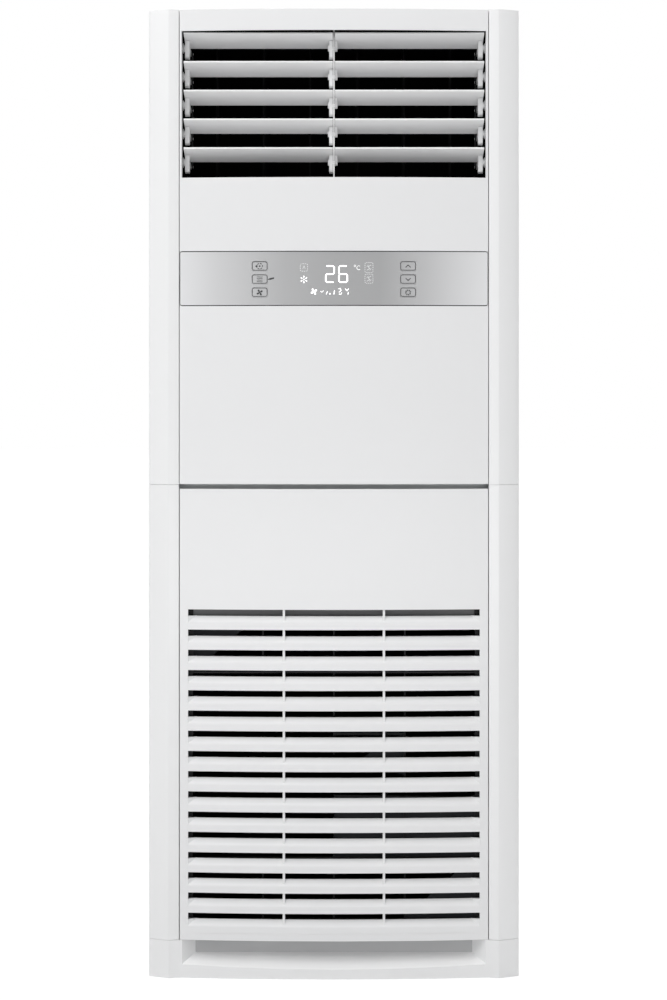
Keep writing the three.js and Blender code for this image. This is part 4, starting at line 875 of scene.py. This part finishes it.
def soft_marks():
    """The degree sign and the C, which glow less."""
    shapes = ribbon(circle(36.8, DIGIT_Z + 14.4, 1.5, 14), 0.7, closed=True)
    shapes += ribbon(circle(43.6, DIGIT_Z + 11.0, 3.5, 14, 50, 260), 0.9)
    ink("soft_marks", shapes, SOFT_LAMP, "cabinet", HIGH_PRINT)


def unlit_marks():
    """The dashed boxes at the left and right of the digits, and the strokes in them."""
    shapes = dashed_box(LEFT_MARK_X, DIGIT_Z + 11.6, 12.6, 13.0, 12)
    shapes += strokes(LEFT_BOX_STROKES, DIGIT_Z)
    for lift, height in RIGHT_BOXES:
        shapes += dashed_box(RIGHT_MARK_X, DIGIT_Z + lift, 14.0, height, 16)
        shapes += strokes(RIGHT_BOX_STROKES, DIGIT_Z + lift)
    ink("unlit_marks", shapes, DIM_LAMP, "cabinet", LOW_PRINT)


def swing_pointer():
    """The small dark tapered mark beside the second key."""
    pointer = [(-KEY_X + x, key_height(1) + z) for x, z in POINTER]
    ink("swing_pointer", [pointer], INKED, "cabinet", HIGH_PRINT)


lit_marks()
soft_marks()
unlit_marks()
swing_pointer()


# ------------------------------------------------------------------ intake panel


def strip_top(slot):
    """The top of the flat strip under a slot."""
    return FIRST_SLOT - SLOT_PITCH * slot - SLOT_PITCH + STRIP


WINDOW_LOW = strip_top(SLOTS - 1) - STRIP


def intake_front():
    """The bowed front with its flanges, and one window for all the slots."""
    edge = INTAKE_HALF - FLANGE_WALL
    xs = bow_stations(-INTAKE_HALF, INTAKE_HALF, (-SLOT_HALF, SLOT_HALF, -edge, edge))
    depths = [0, INTAKE_WALL, INTAKE_FLANGE]
    zs = [INTAKE_BOTTOM, WINDOW_LOW, FIRST_SLOT, INTAKE_TOP - LIP, INTAKE_TOP]

    def filled(x, depth, z):
        if abs(x) < SLOT_HALF and WINDOW_LOW < z < FIRST_SLOT:
            return False
        return depth < INTAKE_WALL or abs(x) > edge or z > INTAKE_TOP - LIP

    front = grid_solid(xs, depths, zs, filled)
    build("intake_front", front, WHITE, "intake_panel", ("intake_panel",), 0.5, 3)


def intake_slats():
    """The slats across the window: a flat strip, and a scoop that slopes back and up from its top."""
    slope = Vector((SCOOP_DEPTH, SCOOP_RISE)).normalized()
    xs = bow_stations(-SLOT_HALF - SLAT_LAP, SLOT_HALF + SLAT_LAP)
    bars = []
    for slot in range(SLOTS):
        top = strip_top(slot)
        low = top - STRIP
        lip = (SCOOP_DEPTH, top + SCOOP_RISE)
        back = (lip[0] + slope.y * SCOOP_WALL, lip[1] - slope.x * SCOOP_WALL)
        shoulder = fillet((-SLAT_PROUD, low), (-SLAT_PROUD, top), lip, SLAT_ROUND, SLAT_ROUND_STEPS)
        root = [(SCOOP_WALL, top - SLAT_ROOT), (SCOOP_WALL, low)]
        bars.append(run_across([(-SLAT_PROUD, low), *shoulder, lip, back, *root], xs))
    build("intake_slats", merged(*bars), WHITE, "intake_panel", (), 0.45)


def intake_scoop_ends():
    """The slanted walls that close both ends of each scoop."""
    rings = [[0, 1, 2], [5, 4, 3], [0, 3, 4, 1], [1, 4, 5, 2], [2, 5, 3, 0]]
    ends = []
    for slot in range(SLOTS):
        low = strip_top(slot)
        high = low + SCOOP_RISE
        for side in (-1, 1):
            outer, inner = side * (SLOT_HALF + END_LAP), side * (SLOT_HALF - SCOOP_RUN)
            corners = []
            for wall in (0.0, SCOOP_WALL):
                outer_y, inner_y = bow(outer) + END_INSET + wall, bow(inner) + SCOOP_DEPTH + wall
                corners += [(outer, outer_y, low), (outer, outer_y, high), (inner, inner_y, high)]
            ends.append((corners, rings))
    build("intake_scoop_ends", merged(*ends), WHITE, "intake_panel", (), 0.2)


def intake_ribs():
    """The two upright ribs behind the slats."""
    low, high = WINDOW_LOW + RIB_FOOT, FIRST_SLOT + RIB_HEAD
    profile = [(RIB_FRONT, low), (RIB_BACK, low), (RIB_BACK, high), (RIB_FRONT, high)]
    ribs = []
    for x in (-RIB_X, RIB_X):
        ribs.append(run_across(profile, [x - RIB_WALL / 2, x + RIB_WALL / 2]))
    build("intake_ribs", merged(*ribs), WHITE, "intake_panel", (), 0.4)


intake_front()
intake_slats()
intake_scoop_ends()
intake_ribs()


# ------------------------------------------------------------------ corner pillars


def crowned(start, end):
    """Points of a slight crown between two points of a plan."""
    start, end = Vector(start), Vector(end)
    out = Vector((end.y - start.y, start.x - end.x)).normalized()
    points = []
    for step in range(1, FACET_STEPS):
        t = step / FACET_STEPS
        point = start.lerp(end, t) + out * FACET_RISE * 4 * t * (1 - t)
        points.append((point.x, point.y))
    return points


def pillar_plans(side):
    """Two plans of a pillar: hollow, with the line of its wall inside it, and solid."""
    seam_back, seam = (PILLAR_SEAM, SEAM_Y + FLANGE), (PILLAR_SEAM, SEAM_Y)
    ridge, corner, back = (RIDGE_X, RIDGE_Y), (CORNER_X, CORNER_Y), (CORNER_X, SHELL_BACK)
    round_seam = fillet(seam_back, seam, ridge, SEAM_ROUND)
    round_ridge = fillet(seam, ridge, corner, RIDGE_ROUND)
    round_corner = fillet(ridge, corner, back, CORNER_ROUND)
    facet = crowned(round_ridge[-1], round_corner[0])
    outer = [seam_back, *round_seam, *round_ridge, *facet, *round_corner, back]
    inner = [
        (PILLAR_SEAM + PILLAR_WALL, SEAM_Y + FLANGE),
        (PILLAR_SEAM + PILLAR_WALL, SEAM_Y + SEAM_WALL),
        (RIDGE_X, RIDGE_Y + PILLAR_WALL),
        (CORNER_X - PILLAR_WALL, CORNER_Y + CORNER_WALL),
        (CORNER_X - PILLAR_WALL, SHELL_BACK),
    ]
    hollow = outer + inner[::-1]
    solid = outer + [(PILLAR_SEAM, SHELL_BACK)]
    return [(side * x, y) for x, y in hollow], [(side * x, y) for x, y in solid]


def pillars():
    """The four hollow pillar covers; the upper two are closed at the top."""
    for side, word in ((-1, "left"), (1, "right")):
        hollow, solid = pillar_plans(side)
        for level in ("lower", "upper"):
            node = f"{word}_pillar_{level}"
            low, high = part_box(node)[0].z / MM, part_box(node)[1].z / MM
            shape = upright(hollow, low, high)
            if level == "upper":
                cap = high - PILLAR_WALL
                shape = merged(upright(hollow, low, cap), upright(solid, cap, high))
            build(node + "_shell", shape, PAINTED_LIGHT_WHITE, "cabinet", (node,), 0.5, 2, RIDGE_ANGLE)


pillars()


# ------------------------------------------------------------------ every other node


def outlet_half(word):
    """The finishes of the link bar and the louvres of one half of the outlet."""
    finishes = {f"{word}_link_bar": (DARK, None, 0.3)}
    for row in range(1, 6):
        finishes[f"{word}_louvre_{row}"] = (BLADE, "louvre_moulding", 0.3)
    return finishes


# a node's finish, its slot, and how far its edges are eased
FINISHES = {
    "base_plinth": (PAINTED_LIGHT_WHITE, "white_moulding", 0.6),
    "top_cover": (WHITE, "white_moulding", 0.8),
    "outlet_frame": (BLACK, None, 0.3),
    "base_pan": (PAINT, "white_paint", 0.6),
    "left_side_panel": (PAINT, "white_paint", 0.5),
    "right_side_panel": (PAINT, "white_paint", 0.5),
    "back_panel": (PAINT, "white_paint", 0.4),
    "display_board": (BOARD, "circuit_board", 0.2),
    "vane_link_bar": (BLACK, "dark_moulding", 0.3),
    "fan_wheel": (DARK, "dark_moulding", 0.4),
    "drain_pan": (DARK, "dark_moulding", 0.5),
    "drain_spout": (DARK, "dark_moulding", 0.3),
    "filter_frame": (DARK, "dark_moulding", 0.4),
    "filter_net": (NET, "filter_mesh", 0.1),
    "scroll_housing": (ZINC, "zinc_sheet", 0.4),
    "inlet_ring": (ZINC, "zinc_sheet", 0.3),
    "motor_bracket": (ZINC, "zinc_sheet", 0.3),
    "fan_deck": (ZINC, "zinc_sheet", 0.3),
    "front_baffle": (ZINC, "zinc_sheet", 0.3),
    "coil_end_plate_left": (ZINC, "zinc_sheet", 0.2),
    "coil_end_plate_right": (ZINC, "zinc_sheet", 0.2),
    "electrical_box": (ZINC, "zinc_sheet", 0.3),
    "electrical_box_cover": (ZINC, "zinc_sheet", 0.3),
    "swing_motor": (CASING, "motor_casing", 0.4),
    "fan_motor": (CASING, "motor_casing", 0.6),
    "evaporator_coil": (FINS, "coil_fins", 0.3),
    "gas_pipe": (COPPER, "copper_pipe", 0.1),
    "liquid_pipe": (COPPER, "copper_pipe", 0.1),
    **{f"vane_{vane}": (BLACK, "dark_moulding", 0.2) for vane in range(1, 7)},
    **outlet_half("left"),
    **outlet_half("right"),
    "chamber_lining": (BLACK, "foam", 0.6),
}

for plain_node, (node_finish, node_slot, node_bevel) in FINISHES.items():
    skin(plain_node, node_finish, node_bevel)


def two_tone(node, other, chosen):
    """Gives a second material to the faces of a skin that a test picks."""
    mesh = bpy.data.objects[node + "_skin"].data
    mesh.materials.append(other)
    place = len(mesh.materials) - 1
    for polygon in mesh.polygons:
        if chosen(polygon.center / MM, polygon.normal):
            polygon.material_index = place


def in_recess(at):
    return RECESS_BOTTOM < at.z < RECESS_TOP and abs(at.x) < RECESS_HALF


def recess_wall_painted_shade(at, way):
    """True on the back wall of the toe recess, which faces forward and gets painted shade."""
    return in_recess(at) and way.y < -0.8 and at.y > RECESS_FRONT


def recess_ledge_painted_light(at, way):
    """True on the sloping floor of the toe recess, which faces up and gets painted light."""
    return in_recess(at) and way.z > 0.6


def outlet_edge(at, way):
    """True on the outlet frame's centre rib and on the edges at its two sides."""
    return abs(at.x) < CENTRE_RIB_HALF or SIDE_EDGE_INNER < abs(at.x) < SIDE_EDGE_OUTER


two_tone("base_plinth", RECESS_SHADE, recess_wall_painted_shade)
two_tone("base_plinth", LEDGE_PAINTED_LIGHT, recess_ledge_painted_light)
two_tone("outlet_frame", BLADE, outlet_edge)


# ------------------------------------------------------------------ what is seen in the depth of the openings


def chamber_ceiling():
    """The dark ceiling over the vanes."""
    left_to_right = [(-CEILING_HALF, CEILING_FRONT), (CEILING_HALF, CEILING_FRONT)]
    right_to_left = [(CEILING_HALF, CEILING_BACK), (-CEILING_HALF, CEILING_BACK)]
    ceiling = upright(left_to_right + right_to_left, CEILING_BOTTOM, CEILING_TOP)
    build("chamber_ceiling", ceiling, BLACK, "cabinet", (), 1.0)


def filter_head_rail():
    """The grey rail behind the first slot, in front of the filter's head; its grey is painted light on the
    filter's head.
    """
    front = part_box("filter_frame")[0].y / MM - RAIL_GAP - RAIL_THICKNESS

    def straight(x):
        return front

    near = [(0, RAIL_BOTTOM), (0, RAIL_TOP)]
    far = [(RAIL_THICKNESS, RAIL_TOP), (RAIL_THICKNESS, RAIL_BOTTOM)]
    rail = run_across(near + far, bow_stations(-RAIL_HALF, RAIL_HALF), straight)
    build("filter_head_rail", rail, RAIL_PAINTED_LIGHT, "intake_panel", (), 0.4)


chamber_ceiling()
filter_head_rail()


# ------------------------------------------------------------------ floor, light and camera, in metres

FLOOR_REACH = 30.0
FLOOR_SHARE = 0.84
FLOOR_WHITE = 1.11
FLOOR_PAPER = 0.88
DOME_LOW, DOME_HIGH = 0.1, 0.78

# name, place, the point that it faces, width, height, watts
SOFTBOXES = (
    ("key", (-2.1, -2.4, 3.5), (0, 0, 1.0), 1.8, 1.8, 50),
    ("top", (0.2, -1.3, 3.6), (0, -0.2, 0.5), 2.0, 1.0, 19),
    ("low", (-0.1, -2.0, 0.5), (0, -0.1, 1.7), 1.8, 0.5, 6.6),
    ("back", (1.6, 3.0, 2.8), (0, 0, 0.9), 2.0, 2.0, 40),
)

# the sensor and the lens in millimetres, and the shift as a share of the sensor
SENSOR, LENS = 36.0, 61.7
SHIFT_X, SHIFT_Y = -0.0004, -0.1031
EYE_DISTANCE, EYE_HEIGHT = 3.0, 1.02
CLIP_NEAR, CLIP_FAR = 0.05, 60.0


def shows_background(nodes, links):
    """1 on the rays that show the background: camera, glossy and transmission rays."""
    path = nodes.new("ShaderNodeLightPath")
    seen = nodes.new("ShaderNodeMath")
    seen.operation = "MAXIMUM"
    links.new(path.outputs["Is Camera Ray"], seen.inputs[0])
    links.new(path.outputs["Is Glossy Ray"], seen.inputs[1])
    through = nodes.new("ShaderNodeMath")
    through.operation = "MAXIMUM"
    links.new(seen.outputs[0], through.inputs[0])
    links.new(path.outputs["Is Transmission Ray"], through.inputs[1])
    return through.outputs[0]


def show_mixed(nodes, links, share, first, second, output_type):
    """Sends a mix of two shaders to the output."""
    mix = nodes.new("ShaderNodeMixShader")
    out = nodes.new(output_type)
    links.new(share, mix.inputs["Fac"])
    links.new(first, mix.inputs[1])
    links.new(second, mix.inputs[2])
    links.new(mix.outputs["Shader"], out.inputs["Surface"])


def white_floor():
    """A white floor that keeps the shadow."""
    mesh = bpy.data.meshes.new("floor")
    corners = [(x * FLOOR_REACH, y * FLOOR_REACH, 0) for x, y in ((-1, -1), (1, -1), (1, 1), (-1, 1))]
    mesh.from_pydata(corners, [], [(0, 1, 2, 3)])
    floor = bpy.data.objects.new("floor", mesh)
    bpy.context.scene.collection.objects.link(floor)
    material, nodes, links = new_material("floor_white")
    nodes.clear()
    paper = nodes.new("ShaderNodeBsdfDiffuse")
    paper.inputs["Color"].default_value = (FLOOR_PAPER, FLOOR_PAPER, FLOOR_PAPER, 1)
    white = nodes.new("ShaderNodeEmission")
    white.inputs["Strength"].default_value = FLOOR_WHITE
    share = nodes.new("ShaderNodeMath")
    share.operation = "MULTIPLY"
    share.inputs[1].default_value = FLOOR_SHARE
    links.new(shows_background(nodes, links), share.inputs[0])
    shaders = (paper.outputs["BSDF"], white.outputs["Emission"])
    show_mixed(nodes, links, share.outputs[0], *shaders, "ShaderNodeOutputMaterial")
    mesh.materials.append(material)


def white_world():
    """A world that shows white, and lights the object more from above than from the sides."""
    world = bpy.data.worlds.new("studio")
    world.use_nodes = True
    bpy.context.scene.world = world
    nodes, links = world.node_tree.nodes, world.node_tree.links
    nodes.clear()
    light = nodes.new("ShaderNodeBackground")
    light.inputs["Color"].default_value = (1, 1, 1, 1)
    place = nodes.new("ShaderNodeTexCoord")
    parts = nodes.new("ShaderNodeSeparateXYZ")
    links.new(place.outputs["Generated"], parts.inputs["Vector"])
    dome = mapped(nodes, links, parts.outputs["Z"], WHOLE_RANGE, (DOME_LOW, DOME_HIGH))
    links.new(dome, light.inputs["Strength"])
    show = nodes.new("ShaderNodeBackground")
    show.inputs["Color"].default_value = (1, 1, 1, 1)
    show.inputs["Strength"].default_value = 1.0
    shaders = (light.outputs["Background"], show.outputs["Background"])
    show_mixed(nodes, links, shows_background(nodes, links), *shaders, "ShaderNodeOutputWorld")


def softbox(name, place, aim, width, height, watts):
    data = bpy.data.lights.new(name, "AREA")
    data.shape = "RECTANGLE"
    data.size, data.size_y = width, height
    data.energy = watts
    lamp = bpy.data.objects.new(name, data)
    lamp.location = place
    lamp.rotation_euler = (Vector(aim) - Vector(place)).to_track_quat("-Z", "Y").to_euler()
    bpy.context.scene.collection.objects.link(lamp)


def camera():
    """A level camera straight in front."""
    data = bpy.data.cameras.new("camera")
    data.sensor_width = SENSOR
    data.lens = LENS
    data.shift_x, data.shift_y = SHIFT_X, SHIFT_Y
    data.clip_start, data.clip_end = CLIP_NEAR, CLIP_FAR
    eye = bpy.data.objects.new("camera", data)
    eye.location = (0.0, FRONT_Y * MM - EYE_DISTANCE, EYE_HEIGHT)
    eye.rotation_euler = (math.radians(90), 0, 0)
    bpy.context.scene.collection.objects.link(eye)
    bpy.context.scene.camera = eye


white_floor()
white_world()
for box in SOFTBOXES:
    softbox(*box)
camera()
bpy.context.scene.view_settings.view_transform = "Standard"
